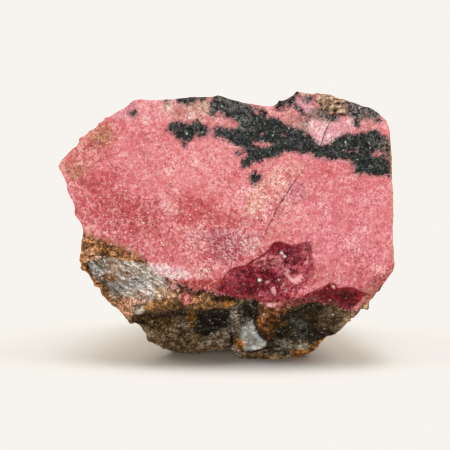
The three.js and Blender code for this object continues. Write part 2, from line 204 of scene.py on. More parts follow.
# How thickly loose black grains lie over the pink: (outline, softness in pixels, amount).
DUST = [
    ([(345, 103), (356, 103), (370, 107), (382, 114), (374, 119), (360, 121), (347, 116)], 5, 0.55),
    ([(308, 108), (320, 108), (324, 113), (338, 116), (342, 121), (328, 123), (310, 119)], 5, 0.72),
    ([(255, 104), (285, 106), (298, 108), (312, 110), (334, 116), (340, 122), (328, 124), (306, 122), (296, 116), (284, 112), (262, 114)], 8, 0.30),
    ([(300, 92), (316, 95), (316, 112), (308, 112), (306, 102), (298, 100)], 6, 0.45),
    ([(165, 97), (230, 96), (226, 106), (205, 112), (184, 108), (170, 106)], 7, 0.10),
    ([(236, 138), (250, 140), (250, 166), (238, 168)], 7, 0.6),
    ([(247, 168), (264, 168), (264, 190), (246, 188)], 7, 0.40),
    ([(176, 138), (190, 139), (188, 152), (180, 150)], 6, 0.35),
    ([(366, 148), (392, 146), (392, 162), (366, 160)], 6, 0.7),
    ([(300, 118), (312, 118), (312, 136), (302, 134)], 5, 0.5),
    ([(362, 120), (376, 120), (380, 134), (366, 133)], 6, 0.25),
    ([(291, 184), (309, 185), (309, 201), (292, 202)], 9, 0.22),
    ([(76, 200), (150, 215), (140, 246), (100, 236)], 20, 0.10),
    ([(205, 228), (262, 226), (262, 262), (205, 264)], 14, 0.16),
]
# Where the black is flecked with grey: (outline, softness, amount).
ASH = [
    ([(344, 102), (352, 96), (366, 99), (380, 112), (376, 118), (358, 121), (346, 116)], 5, 0.75),
    ([(306, 108), (322, 110), (340, 116), (342, 122), (324, 124), (306, 120)], 5, 0.8),
    ([(293, 96), (316, 94), (318, 104), (297, 108)], 4, 0.45),
    ([(366, 128), (392, 134), (392, 170), (374, 160)], 8, 0.22),
    ([(208, 94), (240, 94), (262, 108), (230, 112), (208, 104)], 8, 0.3),
    ([(230, 116), (250, 116), (254, 130), (234, 132)], 6, 0.55),
    ([(206, 98), (218, 98), (218, 118), (208, 116)], 6, 0.5),
]
# Colours laid over the pink side, in order: (outline, softness in pixels, sRGB colour, strength).
FACE_BASE = (223, 137, 141)
FACE_PAINT = [
    ([(296, 160), (392, 176), (394, 260), (330, 282), (300, 235)], 30, (221, 133, 140), 0.9),
    ([(150, 150), (240, 150), (240, 190), (150, 190)], 34, (229, 147, 149), 0.75),
    ([(110, 118), (160, 120), (160, 180), (104, 180)], 34, (223, 136, 141), 0.8),
    ([(72, 178), (118, 172), (130, 204), (100, 226), (76, 216)], 24, (201, 104, 108), 0.9),
    ([(112, 198), (140, 198), (160, 212), (168, 230), (152, 244), (125, 238), (100, 222)], 22, (192, 95, 98), 0.9),
    ([(104, 226), (150, 238), (146, 262), (118, 250)], 16, (200, 105, 110), 0.8),
    ([(140, 238), (200, 236), (204, 268), (160, 266)], 22, (210, 120, 123), 0.85),
    ([(138, 99), (165, 99), (174, 108), (165, 118), (145, 122), (134, 116)], 14, (232, 162, 164), 0.9),
    ([(122, 106), (130, 99), (140, 99), (139, 112), (133, 120), (118, 121), (111, 115)], 8, (212, 156, 160), 0.75),
    ([(130, 111), (136, 111), (138, 114), (133, 117), (130, 115)], 3, (150, 122, 130), 0.45),
    # the stained tip and edge on the left
    ([(82, 126), (112, 120), (116, 138), (108, 152), (92, 156), (78, 150)], 16, (208, 131, 122), 0.85),
    ([(89, 137), (98, 129), (107, 126), (112, 131), (111, 140), (104, 147), (95, 145)], 8, (172, 116, 84), 0.80),
    ([(58, 160), (70, 152), (84, 152), (94, 164), (84, 180), (66, 178)], 14, (217, 147, 135), 0.85),
    ([(62, 168), (72, 164), (84, 166), (82, 178), (70, 179)], 7, (176, 118, 92), 0.65),
    ([(84, 140), (92, 141), (92, 149), (84, 149)], 4, (186, 92, 84), 0.55),
    ([(80, 178), (91, 180), (90, 188), (81, 187)], 6, (176, 92, 92), 0.7),
    ([(99, 171), (111, 172), (111, 182), (102, 182)], 5, (204, 92, 100), 0.85),
    ([(142, 132), (151, 132), (150, 142), (143, 142)], 5, (190, 106, 112), 0.6),
    # under the top edge
    ([(164, 101), (200, 100), (212, 103), (217, 112), (206, 120), (185, 119), (170, 121), (163, 112)], 9, (222, 182, 172), 0.85),
    ([(190, 104), (200, 101), (211, 105), (211, 114), (200, 113), (192, 111)], 6, (196, 164, 141), 0.75),
    ([(169, 104), (181, 103), (184, 112), (178, 121), (171, 118)], 6, (196, 136, 118), 0.6),
    ([(208, 117), (224, 117), (238, 121), (236, 127), (216, 127), (207, 124)], 5, (216, 144, 146), 0.8),
    ([(262, 112), (272, 110), (285, 112), (286, 120), (266, 119)], 5, (226, 150, 148), 0.85),
    ([(270, 112), (292, 111), (290, 114), (272, 115)], 3, (238, 182, 168), 0.7),
    ([(284, 112), (291, 110), (300, 115), (302, 124), (295, 129), (287, 123)], 6, (194, 146, 142), 0.9),
    ([(286, 105), (296, 105), (300, 112), (294, 114), (286, 110)], 4, (222, 148, 142), 0.85),
    ([(293, 102), (297, 98), (302, 100), (313, 102), (314, 108), (310, 113), (303, 112), (298, 107)], 4, (218, 164, 176), 0.95),
    ([(300, 92), (316, 93), (318, 97), (303, 97)], 4, (190, 150, 142), 0.7),
    ([(297, 118), (311, 117), (312, 131), (306, 133), (298, 128)], 5, (160, 126, 116), 0.85),
    ([(309, 109), (322, 110), (334, 116), (338, 121), (324, 121), (309, 118)], 5, (164, 140, 136), 0.7),
    ([(306, 124), (318, 121), (336, 121), (340, 116), (352, 117), (358, 124), (352, 132), (340, 136), (331, 146), (321, 147), (311, 138)], 6, (229, 178, 184), 0.95),
    ([(358, 119), (378, 118), (378, 133), (360, 132)], 7, (208, 142, 142), 0.8),
    ([(366, 120), (374, 121), (376, 131), (370, 130)], 4, (190, 118, 104), 0.5),
    ([(378, 115), (388, 118), (392, 136), (384, 138), (378, 130)], 6, (232, 150, 158), 0.95),
    ([(382, 128), (390, 130), (390, 138), (384, 137)], 4, (216, 108, 108), 0.7),
    ([(346, 101), (356, 102), (372, 107), (382, 114), (372, 118), (356, 120), (347, 114)], 5, (158, 146, 138), 0.9),
    ([(346, 102), (357, 103), (358, 108), (352, 112), (347, 111)], 4, (146, 142, 138), 0.9),
    ([(309, 109), (320, 109), (326, 113), (340, 117), (340, 121), (324, 122), (309, 118)], 4, (150, 124, 122), 0.7),
    ([(387, 137), (398, 133), (399, 177), (390, 177)], 2.5, (190, 146, 114), 0.95),
    ([(390.6, 176), (398, 176), (399, 262), (392.6, 262)], 1.6, (208, 158, 142), 0.8),
    # the rosy middle
    ([(176, 196), (196, 194), (216, 200), (214, 216), (200, 224), (182, 229), (172, 212)], 12, (199, 98, 100), 0.9),
    ([(162, 200), (176, 199), (180, 213), (166, 216)], 7, (230, 166, 160), 0.65),
    ([(186, 230), (200, 227), (210, 233), (204, 246), (192, 247), (186, 240)], 9, (216, 150, 148), 0.75),
    ([(205, 212), (236, 212), (236, 230), (210, 230)], 14, (197, 103, 103), 0.9),
    ([(204, 238), (216, 230), (236, 228), (248, 240), (246, 256), (232, 263), (220, 264), (212, 254)], 11, (178, 98, 107), 0.88),
    ([(241, 240), (250, 232), (260, 230), (263, 246), (253, 254), (243, 252)], 8, (216, 160, 158), 0.75),
    # the salmon streak beside the crack
    ([(276, 164), (297, 158), (305, 165), (288, 186), (270, 204), (254, 219), (246, 220), (240, 210), (246, 198), (258, 181)], 13, (227, 161, 153), 0.9),
    ([(256, 184), (272, 182), (262, 204), (244, 210)], 10, (232, 170, 156), 0.6),
    ([(291, 182), (306, 183), (308, 198), (294, 202), (288, 196)], 10, (192, 118, 127), 0.8),
    ([(276, 200), (290, 192), (294, 206), (280, 218), (272, 216)], 9, (210, 136, 134), 0.7),
    ([(284, 206), (304, 206), (300, 222), (284, 224)], 12, (229, 148, 150), 0.7),
    ([(264, 222), (282, 220), (292, 230), (286, 242), (264, 242)], 10, (212, 126, 126), 0.75),
    ([(264, 232), (282, 233), (280, 241), (266, 242)], 6, (198, 112, 106), 0.5),
    ([(305, 164), (313, 165), (312, 174), (306, 173)], 5, (206, 96, 105), 0.6),
    ([(325, 170), (336, 171), (335, 179), (326, 178)], 6, (212, 104, 112), 0.6),
    ([(284, 171), (292, 172), (291, 178), (285, 178)], 4, (196, 104, 92), 0.6),
    ([(338, 232), (364, 232), (366, 250), (342, 250)], 13, (232, 158, 164), 0.7),
    ([(352, 268), (362, 268), (363, 278), (353, 278)], 6, (188, 92, 88), 0.6),
    ([(312, 262), (332, 266), (336, 284), (318, 284)], 12, (208, 122, 124), 0.6),
    ([(340, 276), (374, 270), (380, 288), (350, 290)], 10, (206, 111, 122), 0.7),
    # painted shade along the lower right edge
    ([(366, 284), (382, 274), (390, 266), (396, 270), (384, 286), (370, 294)], 5, (164, 84, 80), 0.85),
    ([(359, 287), (372, 291), (374, 300), (360, 303)], 4, (162, 98, 90), 0.8),
    ([(284, 300), (300, 297), (300, 311), (284, 311)], 4, (112, 62, 54), 0.9),
    ([(228, 216), (245, 217), (247, 230), (232, 232)], 6, (197, 104, 106), 0.8),
    ([(166, 256), (186, 258), (188, 266), (172, 264)], 4, (204, 112, 118), 0.7),
    # where the pink gives way to crust on the left
    ([(76, 226), (92, 233), (106, 238), (122, 243), (136, 250), (150, 262), (142, 266), (122, 257), (100, 247), (80, 244)], 7, (184, 118, 96), 0.85),
    ([(147, 262), (158, 264.4), (170, 266), (186, 271), (192, 276), (189, 280), (180, 279), (172, 279), (162, 277), (152, 271)], 3.0, (236, 210, 210), 0.97),
    ([(186, 268), (198, 267), (204, 276), (200, 283), (190, 280)], 6, (224, 164, 164), 0.7),
    ([(200, 264), (218, 264), (224, 276), (210, 282), (200, 276)], 8, (214, 142, 141), 0.7),
    ([(178, 281), (196, 278.6), (208, 280), (222, 277), (230, 282), (228, 293), (206, 291), (188, 289)], 3.5, (182, 83, 78), 0.95),
    ([(183, 281.6), (188, 282.6), (189, 288), (184, 288)], 3, (96, 48, 44), 0.5),
]
# The main hollow: its outline, then the colours in it, whose deep red is partly the crystals' own colour and partly
# painted shade of the hollow.
HOLLOW = [(225, 281.6), (228.6, 274), (231, 268), (240, 266.4), (246, 264.8), (250.6, 261), (258, 257.6), (264, 253.4), (268, 250.6), (270.4, 247.4),
          (272.4, 243.8), (276, 241.4), (281, 241.8), (287, 244), (291, 245.4), (295, 246), (300, 243), (305, 241.6), (309, 242), (311.4, 249),
          (312.4, 255), (313, 262), (315.4, 266), (314, 271), (311, 275), (312.6, 280), (308, 284.6), (301, 288), (297, 293), (293, 300),
          (287, 305), (280, 309), (268, 309), (262, 303), (252, 300), (238, 299), (228, 296), (221, 292.6), (217, 289)]
HOLLOW_PAINT = [
    ([(254, 259), (268, 254), (280, 256), (285, 264), (280, 271), (266, 271), (254, 267)], 4, (198, 120, 122), 0.9),
    ([(280, 249), (292, 248.6), (300, 252), (298, 262), (300, 268), (290, 271), (284, 262)], 4, (148, 76, 82), 0.75),
    ([(299, 243), (309, 242), (318, 246), (320, 258), (319, 266), (304, 266), (301, 256)], 5, (196, 104, 110), 0.95),
    ([(290, 263), (306, 261), (321, 264), (321, 276), (309, 278), (303, 278), (298, 281), (288, 272)], 3, (194, 92, 100), 0.95),
    ([(300, 278), (318, 277), (316, 288), (300, 291), (295, 285)], 3, (200, 100, 104), 0.95),
    ([(242, 271), (256, 267), (286, 270), (289, 277), (281, 287), (262, 288), (246, 290), (239, 282)], 5, (126, 45, 53), 0.9),
    ([(222, 280), (230, 270), (242, 270), (245, 279), (238, 289), (224, 288)], 5, (160, 70, 77), 0.85),
    ([(234, 287), (258, 288), (262, 292), (240, 294)], 3, (96, 32, 40), 0.7),
    ([(283, 285), (299, 286), (300, 292), (294, 301), (285, 303), (278, 296)], 4, (176, 74, 82), 0.9),
    ([(259, 291), (272, 290), (281, 296), (285, 304), (272, 308), (262, 300)], 4, (156, 68, 76), 0.9),
    ([(236, 293), (256, 294), (262, 299), (250, 300), (238, 299)], 3, (138, 60, 58), 0.85),
    ([(266, 302), (276, 303), (285, 301), (281, 309), (270, 309)], 3, (182, 116, 92), 0.8),
    ([(272, 264), (290, 266), (298, 276), (294, 288), (284, 286), (276, 276)], 5, (182, 92, 98), 0.7),
    ([(284, 299), (298, 298), (298, 311), (284, 311)], 3, (112, 64, 54), 0.9),
]
# Pockets in the hollow, painted deep red as their shade: (u, v, radius in pixels).
POCKETS = [(244, 271, 2.4), (252, 276, 2.2), (247, 283, 2.4), (241, 289, 2.2), (267, 271, 2.2), (275, 275, 2.0), (257, 290, 1.8), (290, 254, 2.6),
           (286, 262, 2.2), (294, 263, 2.0), (262, 268, 1.6), (236, 277, 1.6), (270, 289, 1.6), (250, 270, 1.8), (281, 283, 1.6), (263, 279, 1.8)]
# Pale veins and flecks in the hollow.
PALE_MARKS = [
    [(283.2, 272.4), (287, 272.2), (290.8, 276.6), (295, 279), (298.4, 275.4), (302, 274.2), (300.4, 279.4), (296.8, 284.4), (292.4, 281.6), (286.4, 277)],
    [(270.6, 287), (273.6, 286.6), (276.8, 291), (276, 294.8), (273.4, 294.4), (271.4, 291)],
    [(281.2, 287.6), (284.4, 281.8), (285.8, 282.4), (282.6, 288.2)],
    [(280, 266), (287, 268.8), (291.4, 271.4), (286, 271.2)],
    [(292.6, 290), (294.4, 289.4), (293.8, 294.6), (292, 294.8)],
    [(262, 268.6), (265, 267.6), (265.4, 269), (262.6, 270)],
    [(266, 282), (268.4, 281.6), (268.2, 284.4), (266.4, 284.6)],
    [(304.6, 262), (307.4, 261), (307.6, 263), (305, 264)],
    [(284, 291), (286.4, 289.6), (287.6, 291.4), (285.2, 293)],
    [(331, 285), (333.6, 284.6), (336, 288), (333.6, 289)],
    [(258, 294.4), (261, 293.4), (262, 295.4), (259, 296.2)],
    [(266, 303.4), (272, 302.8), (277, 304.4), (275, 307), (268, 306.6)],
]
# The hollows' upper edges, left to right.
RIMS = [
    [(221, 282.6), (226.6, 274.6), (231.4, 269.4), (240, 267.6), (246.6, 266), (251, 262.4), (259, 258), (265, 253.8), (270, 249.4), (272.6, 244.8),
     (276.6, 242.6), (282, 243.2), (288, 246), (295, 247.6), (299, 245.4)],
    [(297, 299.6), (305, 296), (313, 292), (320, 289), (327, 285.4), (333, 284), (338, 289), (346, 288), (353, 288.6), (360, 292), (369, 295)],
]
# Painted glints: single crystals painted bright as if catching the light, a few of them plain coloured flecks: (u, v,
# radius in pixels, colour).
PAINTED_GLINTS = [(259.4, 280.2, 2.1, (255, 255, 252)), (278, 280, 1.5, (244, 228, 228)), (281.6, 253.4, 1.9, (255, 246, 248)), (284.6, 256, 1.7, (250, 226, 230)),
          (267, 283, 1.3, (222, 172, 178)), (243.4, 284, 1.2, (206, 136, 142)), (254.6, 273.6, 1.0, (214, 124, 126)), (333.4, 286.6, 1.3, (244, 188, 176)),
          (330.4, 300, 1.1, (186, 164, 164)), (327, 288.4, 1.1, (228, 122, 118)), (211.6, 333.4, 1.4, (206, 198, 188)), (185.4, 326.4, 0.8, (200, 190, 178)),
          (289.4, 128.4, 1.5, (168, 174, 172)), (186.6, 133.6, 1.2, (196, 196, 192)), (345.2, 142, 1.3, (176, 180, 176)), (341.4, 146, 0.8, (150, 152, 148)),
          (359.4, 107.8, 1.3, (214, 196, 188)), (333, 314.6, 1.4, (214, 196, 180)), (172.4, 162.6, 1.0, (246, 220, 214)), (245, 327, 1.2, (206, 204, 196)),
          (249, 280.4, 1.0, (170, 70, 80)), (152, 322, 0.9, (186, 178, 164)), (170, 334, 0.8, (186, 168, 140)), (284, 330, 0.8, (150, 150, 142))]
# The second hollow, low on the right.
HOLLOW2 = [(288, 306), (297, 300), (305, 296), (313, 292), (320, 289), (327, 285), (333, 283), (338, 288.6), (346, 287.4), (353, 288), (360, 291.4),
           (367, 294.6), (361, 300.6), (353, 309), (345, 310), (333, 306), (322, 304), (310, 303), (300, 306)]
HOLLOW2_PAINT = [
    ([(284, 304), (298, 298), (318, 294), (321, 303), (304, 305), (290, 309)], 4, (112, 62, 56), 0.9),
    ([(320, 288), (338, 289), (341, 299), (326, 301), (317, 296)], 4, (100, 34, 38), 0.7),
    ([(338, 289), (346, 289), (350, 294), (357, 296), (354, 304), (347, 300), (341, 302), (341, 295)], 3, (78, 22, 26), 0.8),
    ([(356, 292), (369, 296), (363, 305), (357, 303)], 3, (142, 48, 50), 0.85),
    ([(336, 300), (350, 304), (357, 309), (345, 310), (334, 306)], 3, (108, 50, 60), 0.8),
]
FIBROUS = [(95, 256), (110, 258), (122, 261), (135, 262), (150, 265), (160, 273), (166, 279), (171, 288), (168, 293), (160, 297), (150, 301), (135, 300),
           (124, 297), (115, 291), (108, 284), (104, 276), (99, 264)]
FACET = [(241, 328.6), (247, 324), (253, 320.6), (255.6, 326), (257.4, 331), (260.6, 336.6), (266, 341.6), (264.6, 345.6), (257.6, 349.4), (250, 350.4), (243, 350.6),
         (240.4, 344), (241, 336)]
# Colours laid over the crust, in order: its stains and grains, with painted shade under the ridge, the lump and the
# overhanging lower right and painted highlight on the lump's top, marked below.
RIND_BASE = (98, 80, 58)
RIND_PAINT = [
    ([(78, 226), (92, 238), (118, 244), (140, 255), (150, 264), (138, 265), (124, 261), (108, 258), (94, 259), (86, 263), (78, 254)], 4, (176, 124, 86), 1.0),
    ([(98, 249), (112, 250), (110, 257), (100, 256)], 4, (92, 58, 32), 0.85),
    ([(118, 249), (128, 252), (126, 259), (118, 257)], 4, (120, 76, 42), 0.8),
    ([(122, 248), (133, 252), (131, 257), (124, 256)], 3, (170, 110, 92), 0.6),
    ([(82, 246), (93, 248), (91, 258), (82, 256)], 4, (204, 152, 112), 0.8),
    ([(77, 236), (85, 240), (84, 262), (92, 276), (86, 276), (76, 262)], 4, (186, 132, 88), 0.8),
    ([(83, 263), (92, 266), (97, 275), (92, 277), (85, 271)], 3, (84, 50, 30), 0.9),
    (FIBROUS, 4, (182, 172, 163), 0.97),
    ([(87, 262), (92, 259.4), (98, 264), (103, 272), (105, 279), (100, 282), (95, 277), (91, 270)], 2.5, (158, 156, 152), 0.95),
    ([(98, 262), (108, 264), (110, 272), (104, 274)], 4, (140, 130, 118), 0.7),
    ([(104, 276), (118, 279), (125, 288), (118, 295), (108, 288)], 5, (112, 106, 102), 0.85),
    ([(126, 280), (137, 281), (142, 288), (132, 289)], 4, (128, 126, 128), 0.6),
    ([(109, 262), (119, 262), (118, 269), (110, 268)], 3, (180, 140, 108), 0.7),
    ([(122, 271), (133, 272), (132, 277), (123, 277)], 3, (172, 140, 116), 0.6),
    ([(134, 291), (148, 291), (148, 299), (136, 299)], 4, (192, 160, 144), 0.7),
    ([(146, 280), (158, 282), (171, 289), (166, 294), (152, 295)], 4, (214, 208, 204), 0.85),
    ([(130, 263), (150, 265), (158, 273), (140, 274), (130, 270)], 5, (194, 184, 172), 0.7),
    ([(106, 258), (124, 260), (128, 270), (122, 280), (110, 276)], 5, (152, 134, 118), 0.8),
    ([(103, 273), (116, 275), (115, 281), (104, 280)], 3, (136, 90, 52), 0.85),
    ([(150, 268), (162, 274), (170, 288), (156, 289)], 5, (208, 200, 194), 0.8),
    ([(92, 276), (100, 283), (108, 291), (118, 300), (110, 304), (98, 292), (90, 282)], 3, (160, 106, 66), 0.9),
    ([(108, 290), (120, 296), (118, 301), (108, 297)], 4, (166, 150, 134), 0.7),
    ([(112, 302), (128, 297), (137, 301), (133, 311), (130, 320), (120, 313)], 4, (188, 137, 103), 0.95),
    ([(126, 299), (142, 298), (152, 301), (140, 306), (128, 306)], 4, (210, 166, 146), 0.75),
    ([(133, 306), (144, 307), (144, 315), (135, 314)], 3, (168, 156, 144), 0.85),
    ([(152, 287), (168, 287), (170, 298), (154, 300)], 4, (216, 184, 158), 0.85),
    ([(164, 279), (184, 281), (187, 290), (170, 292)], 4, (204, 148, 136), 0.85),
    ([(188, 288), (236, 296), (238, 302), (205, 300), (190, 296)], 4, (108, 80, 52), 0.9),
    ([(143, 309), (150, 303), (160, 300), (170, 298), (182, 301), (192, 301), (205, 297), (220, 298), (237, 302), (234, 309), (216, 310), (200, 310),
      (186, 310), (176, 309), (164, 312), (150, 313)], 3, (126, 92, 61), 1.0),
    ([(146, 304), (158, 302), (168, 300), (168, 306), (152, 310), (145, 310)], 3, (168, 122, 78), 0.85),
    ([(164, 289), (181, 290), (180, 297), (166, 299)], 4, (192, 150, 118), 0.85),
    ([(168, 302), (184, 303), (184, 310), (170, 309)], 3, (92, 64, 36), 0.85),
    ([(190, 299), (200, 298), (200, 303), (191, 303)], 3, (184, 134, 90), 0.75),
    ([(206, 302), (222, 303), (222, 309), (206, 309)], 3, (116, 80, 44), 0.6),
    ([(224, 301), (236, 302), (234, 307), (225, 307)], 2.5, (160, 106, 46), 0.8),
    # painted shade in the ridge's cavities
    ([(210, 292), (236, 296), (237, 301), (222, 301), (212, 298)], 3, (66, 46, 30), 0.9),
    ([(190, 296), (203, 294), (205, 300), (192, 303)], 3, (206, 152, 104), 0.7),
    ([(181, 291), (191, 290), (195, 296), (191, 304), (183, 305), (179, 298)], 3, (178, 104, 96), 0.9),
    # painted shade: the dark band under the ridge
    ([(134, 316), (150, 313), (165, 312), (180, 309), (200, 310), (236, 309), (236, 317), (200, 319), (180, 317), (160, 321), (140, 325), (131, 322)], 4, (52, 41, 26), 0.9),
    ([(133, 316), (142, 314), (142, 320), (135, 321)], 2.5, (84, 60, 34), 0.8),
    ([(142, 330), (150, 320), (172, 320), (196, 320), (206, 336), (212, 350), (196, 358), (170, 353), (150, 342)], 6, (106, 87, 63), 0.9),
    ([(176, 317), (196, 318), (194, 332), (178, 330)], 6, (92, 82, 70), 0.7),
    ([(144, 334), (156, 338), (172, 347), (200, 350), (202, 358), (170, 355), (146, 342)], 6, (132, 106, 76), 0.75),
    # painted shade under the ridge
    ([(144, 315), (172, 315), (170, 326), (152, 330)], 4, (66, 51, 30), 0.85),
    ([(188, 310), (197, 312), (197, 325), (190, 326)], 4, (118, 76, 34), 0.8),
    # painted shade: the dark recess under the ridge
    ([(196, 312), (232, 309), (235, 334), (222, 341), (206, 340), (194, 328)], 5, (35, 34, 23), 0.95),
    ([(210, 335), (222, 328), (231, 334), (231, 347), (214, 348), (202, 345)], 4, (134, 118, 100), 0.9),
    ([(222, 328), (231, 327), (232, 340), (222, 341)], 3, (130, 114, 94), 0.85),
    ([(196, 345), (230, 345), (233, 352), (198, 356)], 3, (138, 114, 84), 0.8),
    ([(229, 308), (238, 302), (246, 302), (257, 304), (259, 312), (256, 323), (246, 327), (240, 332), (233, 337), (228, 324)], 3, (88, 82, 68), 0.97),
    ([(242, 302), (258, 301), (259, 313), (251, 319), (243, 313)], 3, (42, 42, 34), 0.95),
    ([(231, 311), (237, 311), (238, 326), (236, 335), (231, 333)], 3, (164, 154, 138), 0.75),
    ([(240, 325), (248, 324), (247, 328), (240, 329)], 2, (190, 186, 176), 0.7),
    ([(257, 305), (272, 309), (290, 309), (299, 305), (298, 317), (280, 321), (262, 315)], 4, (130, 80, 44), 0.9),
    # painted shade: the dark lower right, which faces down
    ([(276, 318), (296, 308), (312, 303), (322, 304), (337, 312), (345, 318), (337, 334), (318, 341), (300, 339), (284, 343), (268, 347), (271, 334)], 5, (42, 38, 29), 0.95),
    ([(289, 318), (306, 316), (308, 338), (294, 338)], 6, (68, 70, 66), 0.75),
    ([(305, 306), (319, 308), (318, 318), (306, 318)], 5, (62, 47, 30), 0.7),
    ([(318, 312), (334, 306), (354, 311), (350, 319), (338, 329), (326, 334), (318, 326)], 5, (98, 80, 60), 0.85),
    ([(324, 318), (338, 316), (336, 328), (326, 330)], 4, (74, 62, 48), 0.6),
    ([(338, 325), (346, 316), (354, 311), (356, 314), (344, 326)], 3, (162, 136, 106), 0.85),
    ([(262, 347), (282, 339), (300, 339), (312, 342), (307, 351), (284, 359), (266, 358)], 4, (118, 108, 92), 0.9),
    ([(263, 340), (278, 338), (280, 348), (268, 350)], 3, (60, 54, 46), 0.85),
    ([(298, 345), (306, 345), (306, 352), (300, 352)], 2.5, (206, 190, 170), 0.85),
    ([(290, 350), (306, 350), (318, 342), (330, 335), (328, 343), (312, 353), (308, 359), (292, 359)], 3, (172, 110, 50), 0.9),
    ([(231, 350), (244, 352), (262, 352), (280, 357), (290, 356), (288, 364), (262, 365), (244, 363), (233, 357)], 3, (134, 104, 70), 0.95),
    ([(229, 344), (236, 346), (245, 354), (240, 357), (231, 352)], 2, (200, 186, 166), 0.85),
    (FACET, 1.4, (152, 155, 152), 1.0),
    ([(244, 320), (254, 318), (256, 328), (246, 330)], 3, (120, 121, 114), 0.7),
    ([(250, 326), (256, 325), (258, 333), (252, 335)], 3, (186, 190, 190), 0.7),
    ([(246, 336), (254, 335), (256, 343), (248, 345)], 4, (138, 140, 138), 0.6),
    ([(258, 344), (267, 341), (265, 347), (254, 350), (246, 351), (246, 348)], 2, (196, 194, 188), 0.7),
    ([(241, 339), (246, 340), (246, 346), (242, 346)], 2.5, (212, 172, 142), 0.85),
    ([(235.6, 342), (241, 340), (243.4, 348), (241, 352), (237, 348)], 2, (184, 116, 50), 0.95),
    ([(256.6, 317), (262, 312.6), (268, 314), (277, 316), (281, 322), (276, 330), (272.6, 339), (266, 340.4), (261, 336.4), (258, 330.6), (255.8, 322)], 2.4, (82, 54, 32), 0.97),
    # painted shade: the lump's lower side
    ([(262, 331), (276, 326), (273, 339.6), (266, 341)], 4, (66, 43, 20), 0.85),
    ([(272, 315), (283, 317), (280, 326), (273, 328)], 3, (72, 48, 22), 0.8),
    # painted highlight: the lump's upper left
    ([(258, 317), (264, 315.6), (266, 321), (259, 323)], 2.4, (176, 118, 72), 0.85),
    ([(257, 323), (262, 323), (263, 329), (259, 329)], 2, (126, 82, 46), 0.8),
    ([(265, 318), (271, 319), (271, 324), (265, 325)], 2, (122, 80, 46), 0.8),
    ([(263, 326), (269, 325), (269, 331), (264, 332)], 2, (118, 74, 40), 0.75),
    ([(281, 322), (286, 319), (288, 324), (283, 327)], 2, (122, 88, 44), 0.8),
    ([(261, 311), (268, 312), (268, 318), (262, 317)], 2.5, (200, 160, 122), 0.8),
    ([(352, 310), (360, 306), (372, 296), (384, 283), (392, 272), (398, 274), (386, 294), (366, 310), (354, 318)], 2, (150, 120, 104), 0.9),
    ([(364, 303), (369, 302), (368, 309), (363, 309)], 2, (200, 158, 114), 0.9),
]
# The crusty patch on the top right shoulder, laid over everything.
SHOULDER = [(314, 93), (324, 93), (332, 94), (340, 97), (347.6, 101), (346, 104), (344.6, 106), (347.6, 108.6), (348, 111.4), (345.6, 113.6), (341, 113),
            (337, 114), (331, 114), (326.4, 112.6), (323.6, 110), (321, 108.8), (319, 105.4), (317.4, 103), (316, 99)]
SHOULDER_PAINT = [
    ([(317, 96), (325, 97), (326, 103), (320, 104)], 2.5, (160, 130, 106), 0.9),
    ([(326, 96.6), (336, 98), (335, 103), (327, 103)], 2.5, (184, 151, 128), 0.9),
    ([(337, 99), (346, 102), (342, 104), (336, 103)], 2, (152, 125, 108), 0.9),
    ([(318, 103), (325, 104), (327, 108), (321, 109)], 2, (148, 124, 102), 0.9),
    ([(328, 105.6), (336, 106), (344, 105), (344, 109), (335, 110), (328, 109)], 2.5, (208, 172, 148), 0.9),
    ([(334, 105), (341, 104.6), (342, 107), (335, 107.4)], 1.6, (202, 183, 170), 0.75),
    ([(323, 109), (334, 109.6), (337, 112), (326, 112.4)], 2, (142, 130, 118), 0.85),
    ([(338, 108), (347, 108), (347, 113), (338, 113)], 2, (158, 130, 102), 0.85),
    ([(336, 109.6), (341, 110), (341, 112), (336, 112)], 1.4, (208, 181, 160), 0.7),
]
